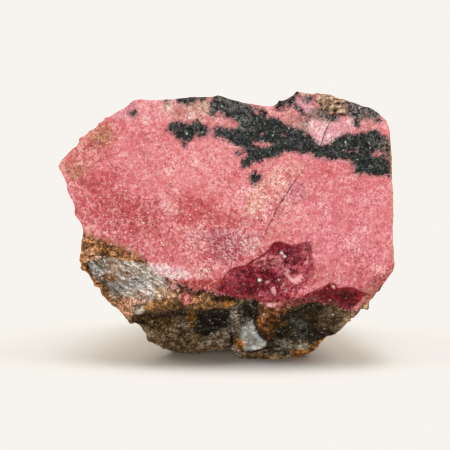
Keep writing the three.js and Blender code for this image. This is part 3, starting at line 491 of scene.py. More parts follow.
# Dark lines: (points, half width in pixels, colour, strength). Several are painted shade in crevices and painted shadow
# under ledges and the lump, marked below. They are also cut in, except where the depth is 0.
LINES = [
    ([(364, 303.6), (372, 296.4), (380, 287.4), (389, 275), (394, 264)], 1.2, (168, 88, 88), 0.7, 0.0),
    # painted shadow under the shoulder patch's lower rim
    ([(321, 109.6), (324, 112.8), (330, 114.8), (338, 115), (347, 114.4)], 0.8, (44, 34, 24), 0.9, 0.4),
    ([(335.6, 103.2), (339, 103.8), (344.6, 103.4)], 0.7, (26, 18, 12), 0.95, 0.6),
    ([(329.4, 104.6), (331, 104.8)], 0.8, (40, 24, 12), 0.9, 0.4),
    ([(326, 101.6), (330, 100), (333, 101.4)], 0.5, (96, 66, 40), 0.6, 0.3),
    ([(325.4, 105), (328, 108), (333, 109.4), (338, 108.6)], 0.6, (84, 62, 40), 0.8, 0.3),
    ([(319, 99), (323, 100.6), (327, 100.2)], 0.5, (92, 70, 48), 0.7, 0.2),
    ([(324.6, 109.4), (328.6, 111.4), (333.6, 111.8), (337, 110.8)], 0.5, (58, 46, 34), 0.75, 0.2),
    ([(340.6, 107), (343, 108.4), (346.4, 108)], 0.5, (66, 48, 32), 0.7, 0.2),
    ([(285, 273), (289, 277), (293, 280.6), (297.4, 283.4)], 1.2, (232, 150, 148), 0.8, 0.0),
    ([(297.4, 283.4), (300.4, 280), (303.6, 276.6)], 0.9, (224, 140, 142), 0.7, 0.0),
    ([(271.4, 288), (273, 291.4), (275, 295.6)], 0.9, (212, 110, 118), 0.6, 0.0),
    ([(317, 101), (321, 104), (323, 108)], 0.7, (70, 54, 36), 0.8, 0.3),
    # painted shade: the black gap behind the notch on the top edge
    ([(278, 102.6), (283, 101.2), (288.6, 100)], 1.5, (8, 8, 8), 1.0, 0.4),
    ([(276, 109.6), (280, 110.6), (285, 110.4)], 0.6, (40, 38, 36), 0.8, 0.3),
    # painted shade in a crevice
    ([(231.4, 334), (231.6, 340), (231, 346)], 1.3, (10, 7, 4), 1.0, 0.9),
    ([(242.6, 351.6), (250, 351.6), (258, 351), (266, 348)], 0.8, (30, 20, 10), 0.9, 0.6),
    # painted shadow beside the lump
    ([(255.2, 316), (254.6, 322), (256.6, 330), (260.6, 336.6), (266, 340.6), (272, 340.6)], 0.9, (30, 21, 12), 0.85, 0.5),
    ([(246, 303), (252, 305.6), (256, 306.4)], 0.5, (150, 152, 146), 0.8, 0.0),
    # painted shade in a crevice under the ridge
    ([(148, 314), (154, 317.6), (162, 316), (170, 313.4)], 1.2, (28, 20, 12), 0.7, 0.6),
    ([(132, 321), (140, 322), (146, 324), (152, 328)], 1.1, (34, 24, 14), 0.7, 0.5),
    ([(246, 356), (256, 357.6), (268, 358)], 0.7, (34, 22, 10), 0.85, 0.4),
    ([(321, 328), (327, 331.6), (333, 334)], 1.0, (18, 14, 9), 0.8, 0.4),
    ([(264, 353), (272, 351), (280, 351)], 0.7, (40, 34, 26), 0.8, 0.3),
    ([(325, 268), (325.6, 272), (325, 277)], 0.6, (132, 84, 92), 0.7, 0.0),
    ([(352, 249.6), (360, 249.8)], 0.5, (170, 88, 98), 0.7, 0.0),
]
# Ridges and steps: (points, pixels above, pixels below, height in mm), fading on each side of a line drawn left to right.
RIDGES = [
    ([(143, 310), (150, 305), (160, 301.4), (172, 300.4), (186, 303), (200, 303), (216, 303), (236, 305)], 7, 3.0, 1.25),
    ([(136, 320), (150, 318), (166, 316), (184, 314), (206, 316), (230, 316)], 5, 7, -0.9),
    ([(158, 334), (178, 336), (198, 340)], 12, 12, 0.5),
    ([(260, 318), (265, 326), (268, 334)], 5, 6, 0.95),
    ([(238, 357), (250, 358.6), (264, 359), (284, 357)], 3, 4, 0.7),
    ([(284, 326), (300, 324), (316, 326)], 9, 9, -0.8),
    ([(316, 318), (332, 314), (350, 312)], 5, 5, 0.5),
    ([(82, 262), (96, 278), (112, 296)], 4, 4, 0.35),
    ([(116, 304), (128, 303), (142, 305)], 5, 5, 0.5),
    ([(181, 298), (187, 296), (192, 297)], 5, 5, 0.5),
    ([(236, 308), (237, 320), (236, 330)], 3, 3, 0.4),
    ([(292, 348), (304, 349), (316, 344)], 5, 5, 0.5),
]
# Steps down into a hollow: (points, width of the step, reach inside, depth in mm), with the hollow below a line drawn left to right.
STEPS = [
    ([(214, 289), (221, 281), (226, 273), (231, 267.6), (240, 266), (246, 264.4), (250.6, 260.4), (258, 257), (264, 253), (268, 250), (270, 247), (272, 243.4),
      (276, 241), (281, 241.4), (287, 243.6), (291, 245), (295, 245.6), (300, 242.6), (305, 241.2), (309.4, 241.6)], 2.4, 20, 1.25),
    ([(297, 299.6), (305, 295.6), (313, 291.6), (320, 288.6), (327, 284.6), (333, 282.6), (338, 288), (346, 287), (353, 287.6), (360, 291), (369, 294)], 2.2, 12, 1.1),
    ([(150, 265), (160, 272), (170, 279), (184, 284), (204, 289), (224, 294), (238, 297)], 2.4, 8, 0.6),
]
# Small lumps on the outline: (u, v, radius in pixels, height in mm).
KNOBS = [(81, 139, 2.6, 0.55), (100, 124, 3.0, 0.55), (106, 118.4, 2.2, 0.5), (366, 306.4, 2.2, 1.1), (90, 131, 2.4, 0.3), (281, 104, 3.0, 1.2), (287, 102.5, 3.0, 1.0), (297, 92, 2.0, 0.4),
         (351, 101, 4.0, -0.15), (339, 96, 5, -0.5), (362, 104, 5, -0.5), (84, 268, 2.6, 0.4), (96, 285, 2.4, 0.45), (113, 302, 2.4, 0.4), (130.6, 323, 3.2, 1.2), (149, 340, 2.4, 0.3), (262, 361, 3, 0.4)]
# The fine crack down the face, top to bottom, and how open it is there.
CRACK = [(334, 114), (330, 122), (325, 133), (321.5, 143), (317, 151), (311, 159), (303, 170), (295.3, 180.5), (289.6, 189),
         (286.5, 194), (281.2, 202), (276.5, 210), (273.6, 216.5), (270, 223), (267.2, 228), (263.4, 237), (260, 244)]
CRACK_OPEN = [0.7, 0.9, 1.0, 0.8, 0.1, 0.15, 0.35, 0.5, 1.0, 0.7, 0.8, 0.75, 0.9, 0.7, 0.5, 0.3, 0.0]
# How strong each kind of grain is: (outline, softness, amount), as the most of any.
SUGAR = [  # white sugary crystals
    ([(176, 278), (208, 279), (232, 285), (228, 294), (206, 292), (184, 289)], 6, 0.6),
    ([(146, 260), (192, 268), (206, 278), (190, 284), (150, 276)], 8, 1.0),
    ([(178, 222), (206, 222), (262, 224), (264, 254), (226, 272), (200, 276), (176, 250)], 16, 0.8),
    ([(160, 196), (182, 198), (180, 218), (162, 216)], 8, 0.7),
    ([(240, 176), (296, 164), (284, 200), (250, 224), (230, 216)], 16, 0.6),
    ([(76, 196), (150, 210), (180, 250), (130, 246), (90, 232)], 20, 0.45),
    ([(222, 246), (312, 242), (314, 300), (230, 296)], 8, 0.75),
    ([(338, 230), (366, 230), (366, 252), (340, 252)], 12, 0.4),
]
EMBER = [  # dark red specks
    ([(176, 278), (208, 279), (232, 285), (228, 294), (206, 292), (184, 289)], 6, 1.0),
    ([(70, 180), (120, 176), (170, 216), (190, 246), (150, 262), (100, 244), (74, 222)], 18, 0.8),
    ([(60, 155), (110, 125), (116, 150), (84, 184), (64, 180)], 14, 0.9),
    ([(196, 226), (262, 224), (262, 268), (200, 276)], 12, 1.0),
    ([(176, 196), (216, 198), (216, 224), (178, 224)], 12, 0.5),
    ([(254, 170), (296, 164), (300, 206), (256, 240), (240, 224)], 14, 0.7),
    ([(164, 100), (216, 100), (214, 122), (168, 122)], 8, 0.6),
    ([(284, 108), (316, 100), (316, 134), (290, 130)], 8, 0.6),
    ([(340, 256), (392, 256), (372, 292), (330, 290)], 14, 0.5),
]
def polygon_distance(u, v, outline):
    """Signed distance in pixels, negative inside."""
    best, inside = np.full(len(u), 1e12), np.zeros(len(u), bool)
    for (ax, ay), (bx, by) in zip(outline, outline[1:] + outline[:1]):
        ex, ey, wx, wy = bx - ax, by - ay, u - ax, v - ay
        k = np.clip((wx * ex + wy * ey) / (ex * ex + ey * ey), 0, 1)
        best = np.minimum(best, (wx - k * ex) ** 2 + (wy - k * ey) ** 2)
        if ay != by:
            inside ^= ((ay > v) != (by > v)) & (u < (bx - ax) * (v - ay) / (by - ay) + ax)
    return np.where(inside, -1, 1) * np.sqrt(best)


def line_distance(u, v, points, values):
    """Distance in pixels to a line, negative on its left, and the value carried at the nearest place."""
    best, signed, value = np.full(len(u), 1e12), np.full(len(u), 99.0), np.zeros(len(u))
    for i in range(len(points) - 1):
        (ax, ay), (bx, by) = points[i], points[i + 1]
        ex, ey, wx, wy = bx - ax, by - ay, u - ax, v - ay
        k = np.clip((wx * ex + wy * ey) / (ex * ex + ey * ey), 0, 1)
        d = (wx - k * ex) ** 2 + (wy - k * ey) ** 2
        near = d < best
        best = np.where(near, d, best)
        signed = np.where(near, np.sign(ex * wy - ey * wx) * np.sqrt(d), signed)
        value = np.where(near, values[i] * (1 - k) + values[i + 1] * k, value)
    return signed, value


def masks(u, v, shapes, rough):
    """One soft mask for each (outline, softness, ...) row, its edge broken up by the rough field."""
    for outline, softness, *rest in shapes:
        yield smooth(softness * 0.5, -softness * 0.5, polygon_distance(u, v, outline) + rough * softness * 0.45), rest


def most(u, v, shapes, rough):
    out = np.zeros(len(u))
    for mask, (amount,) in masks(u, v, shapes, rough):
        out = np.maximum(out, mask * amount)
    return out


def overlaid(colour, u, v, shapes, rough):
    for mask, (rgb, strength) in masks(u, v, shapes, rough):
        colour += (np.array(rgb, float) - colour) * (mask * strength)[:, None]
    return colour


def to_linear(colour):
    c = np.clip(colour, 0, 255) / 255
    return np.where(c <= 0.04045, c / 12.92, ((c + 0.055) / 1.055) ** 2.4)


def drawn(p):
    """Everything that is drawn in the view, at the points p: two colours (sRGB) and named numbers."""
    u, v, depth = to_pixels(p)
    mm = depth / FOCAL                                  # one pixel there
    fine, coarse = fbm(p, 1.5, 2, 61), fbm(p, 3.6, 2, 65)
    fine2, coarse2 = fbm(p, 1.5, 2, 71), fbm(p, 3.6, 2, 75)
    wu, wv = u + 1.3 * fine + 1.8 * coarse, v + 1.3 * fine2 + 1.8 * coarse2     # wandering
    fu, fv = u + 0.7 * fine, v + 0.7 * fine2                                    # nearly true
    rough = np.clip(1.5 * fbm(p, 1.9, 3, 79, 0.7), -1, 1)
    r = {}

    face = np.tile(np.array(FACE_BASE, float), (len(p), 1))
    face = overlaid(face, wu, wv, FACE_PAINT, rough)
    ragged, ragged2 = 1.5 * noise(p, 1.3, 63), 1.5 * noise(p, 1.3, 64)
    hollow = polygon_distance(fu + ragged, fv + ragged2, HOLLOW)
    soft_side = smooth(296, 310, fu) * smooth(246, 256, fv)                     # its right side has no edge
    inside = smooth(0.8 + 5 * soft_side, -0.8 - 5 * soft_side, hollow + rough * 0.8)
    berry = np.tile(np.array((134, 46, 56), float), (len(p), 1))
    berry = overlaid(berry, fu, fv, HOLLOW_PAINT, rough)
    # painted shade in the hollow's pockets
    for cu, cv, radius in POCKETS:
        near = np.exp(-((fu - cu) ** 2 + ((fv - cv) * 1.25) ** 2) / radius ** 2)
        berry += (np.array((62, 14, 24)) - berry) * (near * 0.8)[:, None]
    face += (berry - face) * inside[:, None]
    hollow2 = polygon_distance(fu + ragged, fv + ragged2, HOLLOW2)
    inside2 = smooth(1.0, -1.0, hollow2 + rough * 0.8)
    berry = np.tile(np.array((110, 38, 40), float), (len(p), 1))
    berry = overlaid(berry, fu, fv, HOLLOW2_PAINT, rough)
    face += (berry - face) * inside2[:, None]
    rind = np.tile(np.array(RIND_BASE, float), (len(p), 1))
    rind = overlaid(rind, fu + 0.5 * coarse, fv + 0.5 * coarse2, RIND_PAINT, rough)

    r["crust"] = polygon_distance(fu, fv, CRUST_EDGE) * mm
    vein = np.full(len(p), 99.0)
    for outline in VEINS:
        vein = np.minimum(vein, polygon_distance(fu, fv, outline))
    for outline in ISLANDS:
        vein = np.maximum(vein, -polygon_distance(fu, fv, outline) - 0.6)
    r["vein"] = vein * mm
    r["dust"] = most(wu, wv, DUST, rough)
    shoulder = polygon_distance(fu, fv, SHOULDER) + rough * 1.2
    cap = np.tile(np.array((156, 128, 104), float), (len(p), 1))
    cap = overlaid(cap, fu, fv, SHOULDER_PAINT, rough * 0.6)
    rind += (cap - rind) * smooth(8, 7, shoulder)[:, None]
    r["crust"] = np.minimum(r["crust"], shoulder * mm)
    r["shoulder"] = smooth(0.5, -0.9, shoulder)

    r["berry"] = np.maximum(inside, inside2)
    r["sugar"] = most(wu, wv, SUGAR, rough)
    r["ember"] = most(wu, wv, EMBER, rough)
    r["glass"] = np.maximum(smooth(1.0, -1.0, polygon_distance(fu, fv, FACET)), 0.4 * r["shoulder"])
    r["fibre"] = smooth(3, -3, polygon_distance(fu, fv, FIBROUS)) * smooth(100, 108, fu)
    signed, opened = line_distance(u + 0.35 * noise(p, 1.1, 67), v, CRACK, CRACK_OPEN)
    r["crack"], r["open"] = signed * mm, opened
    cut = np.zeros(len(p))
    # the lines, several of them painted shade and shadow, each also cut in by its depth
    for points, width, rgb, strength, deep in LINES:
        signed, _ = line_distance(fu + 0.3 * noise(p, 0.9, 69), fv, points, [0] * len(points))
        near = np.exp(-(signed / width) ** 2) * strength
        for colour in (face, rind):
            colour += (np.array(rgb, float) - colour) * np.clip(near * 1.25, 0, 1)[:, None]
        cut = np.maximum(cut, near * deep)
    r["cut"] = cut
    mark = np.full(len(p), 99.0)
    for outline in PALE_MARKS:
        mark = np.minimum(mark, polygon_distance(u, v, outline))
    r["mark"] = mark * mm
    rim = np.full(len(p), 99.0)
    for points in RIMS:
        signed, _ = line_distance(fu, fv, points, [0] * len(points))
        rim = np.where(np.abs(signed) < np.abs(rim), signed, rim)
    r["rim"] = np.where(np.abs(rim) > 4, 90 * np.sign(rim), rim) * mm              # far off it means nothing
    r["ash"] = most(fu, fv, ASH, rough)
    return face, rind, r


def through(p):
    """The same where the drawn view doesn't reach, as fields through the stone."""
    x, y, z = p.T
    crust = z - (33 - 0.12 * x + 9.0 * fbm(p, 19, 2, 3)) + 3.2 * fbm(p, 6.0, 3, 5)
    main = np.array([0.25, 0.35, 0.90])
    main /= np.linalg.norm(main)
    sheet = np.abs((p - [40, -14, 60]) @ main + 2.6 * fbm(p, 12, 2, 7)) - (3.4 + 3.2 * fbm(p, 10, 2, 9))
    side = np.array([-0.62, 0.25, 0.74])
    side /= np.linalg.norm(side)
    thin = np.abs((p - [6, 18, 48]) @ side + 3.0 * fbm(p, 14, 2, 11)) - (0.5 + 2.6 * fbm(p, 9, 2, 13))
    patch = (0.30 - fbm(p, 15, 3, 15)) * 14
    n = lambda size, seed, lo, hi: smooth(lo, hi, fbm(p, size, 3, seed))
    face = np.tile(np.array(FACE_BASE, float), (len(p), 1))
    for rgb, size, seed, lo, hi, strength in (
            ((229, 148, 150), 17, 27, 0.0, 0.3, 0.8), ((198, 104, 108), 12, 29, -0.02, 0.28, 0.85), ((192, 132, 140), 15, 25, 0.05, 0.35, 0.7),
            ((226, 158, 148), 16, 28, 0.08, 0.35, 0.7), ((186, 132, 106), 12, 23, -0.02, 0.24, 0.85), ((222, 176, 172), 8, 31, 0.12, 0.38, 0.6),
            ((150, 62, 70), 9, 33, 0.2, 0.36, 0.85)):
        face += (np.array(rgb, float) - face) * (strength * n(size, seed, lo, hi))[:, None]
    rind = np.tile(np.array(RIND_BASE, float), (len(p), 1))
    for rgb, size, seed, lo, hi, strength in (
            ((166, 112, 64), 9, 41, -0.05, 0.16, 0.9), ((176, 166, 154), 11, 43, 0.04, 0.22, 0.85), ((124, 92, 58), 7, 45, 0.0, 0.2, 0.7),
            ((48, 44, 33), 9, 49, 0.04, 0.20, 0.9), ((176, 112, 98), 8, 51, 0.2, 0.38, 0.7), ((206, 160, 112), 5, 53, 0.2, 0.36, 0.7),
            ((206, 200, 192), 7, 47, 0.25, 0.4, 0.7)):
        rind += (np.array(rgb, float) - rind) * (strength * n(size, seed, lo, hi))[:, None]
    none = np.zeros(len(p))
    return face, rind, {
        "crust": crust, "vein": np.minimum(np.minimum(sheet, thin), patch), "dust": 0.05 + 0.35 * n(11, 21, 0.0, 0.4), "shoulder": none,
        "berry": 0.8 * n(9, 33, 0.2, 0.36), "sugar": 0.6 * n(8, 31, 0.05, 0.4), "ember": 0.7 * n(12, 29, 0.0, 0.35), "glass": none,
        "fibre": n(11, 43, 0.04, 0.22), "crack": none + 9, "open": none, "cut": none, "mark": none + 9, "rim": none + 9, "ash": 0.5 * n(10, 57, 0.0, 0.3)}


def everything(p, hidden):
    front, back = drawn(p), through(p)
    h = hidden[:, None]
    face, rind = (a * (1 - h) + b * h for a, b in zip(front[:2], back[:2]))
    return face, rind, {name: front[2][name] * (1 - hidden) + back[2][name] * hidden for name in front[2]}


def forms(p):
    """Ridges, steps and knobs that are drawn in the view, in mm outward."""
    u, v, depth = to_pixels(p)
    u, v = u + 0.9 * noise(p, 1.8, 121) + 0.6 * noise(p, 4, 123), v + 0.9 * noise(p, 1.8, 122) + 0.6 * noise(p, 4, 124)
    out = np.zeros(len(p))
    for points, above, below, height in RIDGES:
        signed, _ = line_distance(u, v, points, [0] * len(points))
        out += height * np.exp(-(signed / np.where(signed > 0, below, above)) ** 2)
    for points, width, reach, deep in STEPS:
        signed, _ = line_distance(u, v, points, [0] * len(points))
        ends = smooth(points[0][0] - 4, points[0][0] + 4, u) * smooth(points[-1][0] + 5, points[-1][0] - 3, u)
        out -= ends * deep * smooth(0, width, signed) * smooth(reach, width, signed)
        out += ends * 0.18 * np.exp(-((signed + 1.2) / 1.5) ** 2)
    for cu, cv, radius, height in KNOBS:
        out += height * np.exp(-((u - cu) ** 2 + (v - cv) ** 2) / radius ** 2)
    return out


# ---- the stone's surface ------------------------------------------------------------------------
def remeshed(source, size):
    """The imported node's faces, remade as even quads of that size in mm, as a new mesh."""
    copy = bpy.data.objects.new("copy", source.data.copy())
    bpy.context.scene.collection.objects.link(copy)
    remesh = copy.modifiers.new("even", "REMESH")
    remesh.mode, remesh.voxel_size, remesh.adaptivity = "VOXEL", size / 1000, 0
    mesh = bpy.data.meshes.new_from_object(copy.evaluated_get(bpy.context.evaluated_depsgraph_get()))
    bpy.data.objects.remove(copy)
    return mesh


def mesh_arrays(mesh):
    points = np.empty(len(mesh.vertices) * 3)
    mesh.vertices.foreach_get("co", points)
    edges = np.empty(len(mesh.edges) * 2, np.int32)
    mesh.edges.foreach_get("vertices", edges)
    mesh.calc_loop_triangles()
    faces = np.empty(len(mesh.loop_triangles) * 3, np.int32)
    mesh.loop_triangles.foreach_get("vertices", faces)
    return points.reshape(-1, 3) * 1000, edges.reshape(-1, 2), faces.reshape(-1, 3)


def normals_of(points, faces):
    a, b, c = points[faces[:, 0]], points[faces[:, 1]], points[faces[:, 2]]
    n = np.cross(b - a, c - a)
    out = np.stack([sum(np.bincount(faces[:, k], n[:, j], len(points)) for k in range(3)) for j in range(3)], 1)
    return out / np.maximum(np.linalg.norm(out, axis=1, keepdims=True), 1e-12)


def averaged(values, edges, count, times, keep=0.0):
    """values, each mixed with its neighbours' mean that many times."""
    degree = np.bincount(edges.ravel(), minlength=count).astype(float)
    flat = values.reshape(count, -1)
    for _ in range(times):
        total = np.stack([np.bincount(edges[:, 0], flat[edges[:, 1], j], count) + np.bincount(edges[:, 1], flat[edges[:, 0], j], count)
                          for j in range(flat.shape[1])], 1)
        flat = keep * flat + (1 - keep) * total / degree[:, None]
    return flat.reshape(values.shape)


def hidden_from_view(points, edges):
    """0 on what the drawn view sees, rising to 1 a few mm behind its rim."""
    u, v, depth = to_pixels(points)
    place = np.clip(v.astype(int), 0, 449) * 450 + np.clip(u.astype(int), 0, 449)
    nearest = np.full(450 * 450, np.inf)
    np.minimum.at(nearest, place, depth)
    grid = nearest.reshape(450, 450)
    grid = np.minimum.reduce([np.roll(np.roll(grid, a, 0), b, 1) for a in (-1, 0, 1) for b in (-1, 0, 1)])
    behind = depth - grid.ravel()[place]
    grazed = 3.0 * smooth(124, 110, v)                   # the view only grazes the top
    return np.clip(averaged(smooth(3.0, 7.0, behind - grazed + 1.5 * noise(points, 3.0, 71)), edges, len(points), 6, 0.3), 0, 1)


def scallops(p, size, seed):
    """Shallow shell-like hollows that meet in crisp ridges, about -0.5 to 0.7."""
    warp = np.stack([noise(p, size * 0.9, seed + k) for k in (1, 2, 3)], 1) * size * 0.45
    near = cells(p + warp, size, seed)[0]
    return near * near * 1.4 - 0.4


def lumps(p, size, seed):
    warp = np.stack([noise(p, size * 0.8, seed + k) for k in (1, 2, 3)], 1) * size * 0.6
    near, second, number, offset = cells(p + warp, size, seed)
    return 0.5 - near * near * 1.2 + (_unit(number) - 0.5) * 0.7 * np.clip((second - near) / 0.3, 0, 1)


def relief(p, r, hidden):
    """How far each point moves out along its normal, in mm."""
    crust = smooth(0.5, -0.5, r["crust"])
    hollow = np.clip(r["berry"], 0, 1) * (1 - crust)
    cap = r["shoulder"]
    pink = (1 - crust) * (1 - hollow)
    fine = facets(p, 1.25, 81)
    broad = fbm(p, 10, 2, 82)
    small = scallops(p, 2.8, 83)
    out = pink * (1 - hidden) * (0.18 * broad + (0.10 + 0.10 * r["ember"]) * small + 0.12 * fine + 0.10 * fbm(p, 2.2, 2, 84))
    out += hollow * (0.42 * small + 0.34 * facets(p, 2.1, 85) + 0.26 * facets(p, 1.1, 86))
    smoothness = 1 - 0.9 * r["glass"]
    calm = 1 - 0.45 * r["fibre"]
    rough = crust * smoothness * calm * (1 - 0.5 * cap)
    out += rough * (0.46 * lumps(p, 4.6, 91) + 0.36 * lumps(p, 2.1, 95) + 0.26 * facets(p, 1.15, 99) + 0.32 * fbm(p, 2.4, 3, 101, 0.65) - 0.2)
    along = (p[:, 0] - p[:, 2]) * 0.7071
    across = (p[:, 0] + p[:, 2]) * 0.7071
    threads = np.stack([along / 4.5, p[:, 1] * 0.7, across * 1.25], 1)
    out += crust * r["fibre"] * smoothness * (0.30 * noise(threads, 1.0, 103) + 0.16 * noise(threads, 0.5, 104))
    out += cap * (0.40 + 0.35 * facets(p * [0.6, 1, 1.4], 1.3, 105) + 0.2 * fine)
    out += pink * hidden * (0.95 * fbm(p, 16, 2, 105) + 0.85 * scallops(p, 8.5, 107) + 0.30 * small + 0.17 * fine)
    out += rough * hidden * (0.8 * fbm(p, 14, 2, 109) + 0.5 * scallops(p, 6.5, 111))
    out += (1 - hidden) * forms(p)
    out -= 0.22 * r["open"] * np.exp(-(r["crack"] / 0.28) ** 2) + 0.9 * r["cut"]
    return out


def cavity(points, edges, normals, rounds):
    """How far each point stands out of its smoothed surroundings, in mm."""
    around = averaged(points, edges, len(points), rounds, 0.3)
    return ((points - around) * normals).sum(1)


def make_surface():
    mesh = remeshed(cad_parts[NODE], 0.5)
    points, edges, faces = mesh_arrays(mesh)
    count = len(points)
    soft = averaged(points, edges, count, 1, 0.4)
    hidden = hidden_from_view(soft, edges)
    soft = averaged(soft, edges, count, 10, 0.4) * hidden[:, None] + soft * (1 - hidden[:, None])
    normals = averaged(normals_of(soft, faces), edges, count, 3, 0.4)
    normals /= np.linalg.norm(normals, axis=1, keepdims=True)
    face, rind, r = everything(soft, hidden)
    points = soft + normals * relief(soft, r, hidden)[:, None]
    points[:, 2] = np.maximum(points[:, 2], 0.0)
    face, rind, r = everything(points, hidden)
    # how far each point stands out; the material paints shade in recesses and highlight on what stands out from it
    stand = 0.6 * cavity(points, edges, normals, 3) / 0.10 + 0.4 * cavity(points, edges, normals, 14) / 0.35
    r["stand"] = np.clip(stand, -2, 2)
    mesh.vertices.foreach_set("co", (points / 1000).ravel())
    del r["shoulder"]
    for name, value in r.items():
        mesh.attributes.new(name, "FLOAT", "POINT").data.foreach_set("value", value.astype(np.float32))
    for name, colour in (("face", face), ("rind", rind)):
        mesh.attributes.new(name, "FLOAT_VECTOR", "POINT").data.foreach_set("vector", to_linear(colour).astype(np.float32).ravel())
    mesh.materials.clear()
    mesh.polygons.foreach_set("use_smooth", np.ones(len(mesh.polygons), bool))
    mesh.update()
    return mesh


def painted_glint_places(mesh):
    """The painted glints, each at its place on the surface: (point in mm, radius in mm, colour)."""
    points, edges, faces = mesh_arrays(mesh)
    u, v, depth = to_pixels(points)
    out = []
    for cu, cv, radius, colour in PAINTED_GLINTS:
        near = np.hypot(u - cu, v - cv) < 4
        nearest = depth[near].min()
        near &= depth < nearest + 4
        weight = np.exp(-((u - cu) ** 2 + (v - cv) ** 2)[near] / 0.8)
        place = (points[near] * weight[:, None]).sum(0) / weight.sum()
        out.append((tuple(float(x) for x in place), float(radius * nearest / FOCAL), colour))
    return out


surface = bpy.data.objects.new("rhodonite_surface", make_surface())
bpy.context.scene.collection.objects.link(surface)
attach(surface, "root")
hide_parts(NODE)




# ---- the stone's material -----------------------------------------------------------------------
def linear(r, g, b):
    return tuple((c / 255 / 12.92) if c / 255 <= 0.04045 else ((c / 255 + 0.055) / 1.055) ** 2.4 for c in (r, g, b)) + (1.0,)


class Nodes:
    """Short names for making and joining shader nodes."""

    def __init__(self, name):
        self.material = bpy.data.materials.new(name)
        self.material.use_nodes = True
        self.tree = self.material.node_tree
        self.shader = self.tree.nodes["Principled BSDF"]

    def put(self, socket, value):
        if isinstance(value, bpy.types.NodeSocket):
            self.tree.links.new(value, socket)
        elif value is not None:
            socket.default_value = value

    def math(self, kind, a, b=None, c=None, clamp=False):
        node = self.tree.nodes.new("ShaderNodeMath")
        node.operation, node.use_clamp = kind, clamp
        for socket, value in zip(node.inputs, (a, b, c)):
            self.put(socket, value)
        return node.outputs[0]

    def add(self, *terms):
        total = terms[0]
        for term in terms[1:]:
            total = self.math("ADD", total, term)
        return total

    def times(self, a, b, clamp=False):
        return self.math("MULTIPLY", a, b, clamp=clamp)

    def span(self, x, low, high, to_low=0.0, to_high=1.0, kind="SMOOTHSTEP"):
        node = self.tree.nodes.new("ShaderNodeMapRange")
        node.interpolation_type = kind
        for socket, value in zip(node.inputs, (x, low, high, to_low, to_high)):
            self.put(socket, value)
        return node.outputs[0]

    def mix(self, amount, a, b, kind="MIX"):
        node = self.tree.nodes.new("ShaderNodeMix")
        node.data_type, node.blend_type = "RGBA", kind
        self.put(node.inputs[0], amount)
        self.put(node.inputs[6], a)
        self.put(node.inputs[7], b)
        return node.outputs[2]

    def ramp(self, x, *stops):
        node = self.tree.nodes.new("ShaderNodeValToRGB")
        ramp = node.color_ramp
        while len(ramp.elements) < len(stops):
            ramp.elements.new(1.0)
        for element, (place, colour) in zip(ramp.elements, stops):
            element.position, element.color = place, linear(*colour)
        self.put(node.inputs[0], x)
        return node.outputs[0]

    def vector(self, kind, a, b=None, scale=None):
        node = self.tree.nodes.new("ShaderNodeVectorMath")
        node.operation = kind
        self.put(node.inputs[0], a)
        if b is not None:
            self.put(node.inputs[1], b)
        if scale is not None:
            self.put(node.inputs[3], scale)
        return node.outputs["Value"] if kind in ("DOT_PRODUCT", "LENGTH") else node.outputs[0]

    def noise(self, p, size, detail=2.0, rough=0.5, shift=0.0, distortion=0.0):
        node = self.tree.nodes.new("ShaderNodeTexNoise")
        node.noise_dimensions = "4D" if shift else "3D"
        self.put(node.inputs["Vector"], p)
        if shift:
            node.inputs["W"].default_value = shift
        node.inputs["Scale"].default_value = 1.0 / size
        node.inputs["Detail"].default_value = detail
        node.inputs["Roughness"].default_value = rough
        node.inputs["Distortion"].default_value = distortion
        return node.outputs[0]

    def voronoi(self, p, size, feature="F1", randomness=1.0):
        node = self.tree.nodes.new("ShaderNodeTexVoronoi")
        node.feature = feature
        self.put(node.inputs["Vector"], p)
        node.inputs["Scale"].default_value = 1.0 / size
        node.inputs["Randomness"].default_value = randomness
        return node

    def split(self, colour):
        node = self.tree.nodes.new("ShaderNodeSeparateColor")
        self.put(node.inputs[0], colour)
        return node.outputs[0], node.outputs[1], node.outputs[2]

    def attribute(self, name, output="Fac"):
        node = self.tree.nodes.new("ShaderNodeAttribute")
        node.attribute_name = name
        return node.outputs[output]

    def raised(self, colour, red, green, blue):
        """colour with each channel times 2 to a power."""
        node = self.tree.nodes.new("ShaderNodeSeparateXYZ")
        self.put(node.inputs[0], colour if isinstance(colour, bpy.types.NodeSocket) else colour[:3])
        joined = self.tree.nodes.new("ShaderNodeCombineXYZ")
        for k, power in enumerate((red, green, blue)):
            self.put(joined.inputs[k], self.times(node.outputs[k], self.math("POWER", 2.0, power)))
        return joined.outputs[0]


# What the paint is multiplied by, because the light on the stone isn't the light on a white card.
FACE_GAIN, RIND_GAIN = (1.03, 0.93, 0.95), (1.22, 1.17, 1.11)


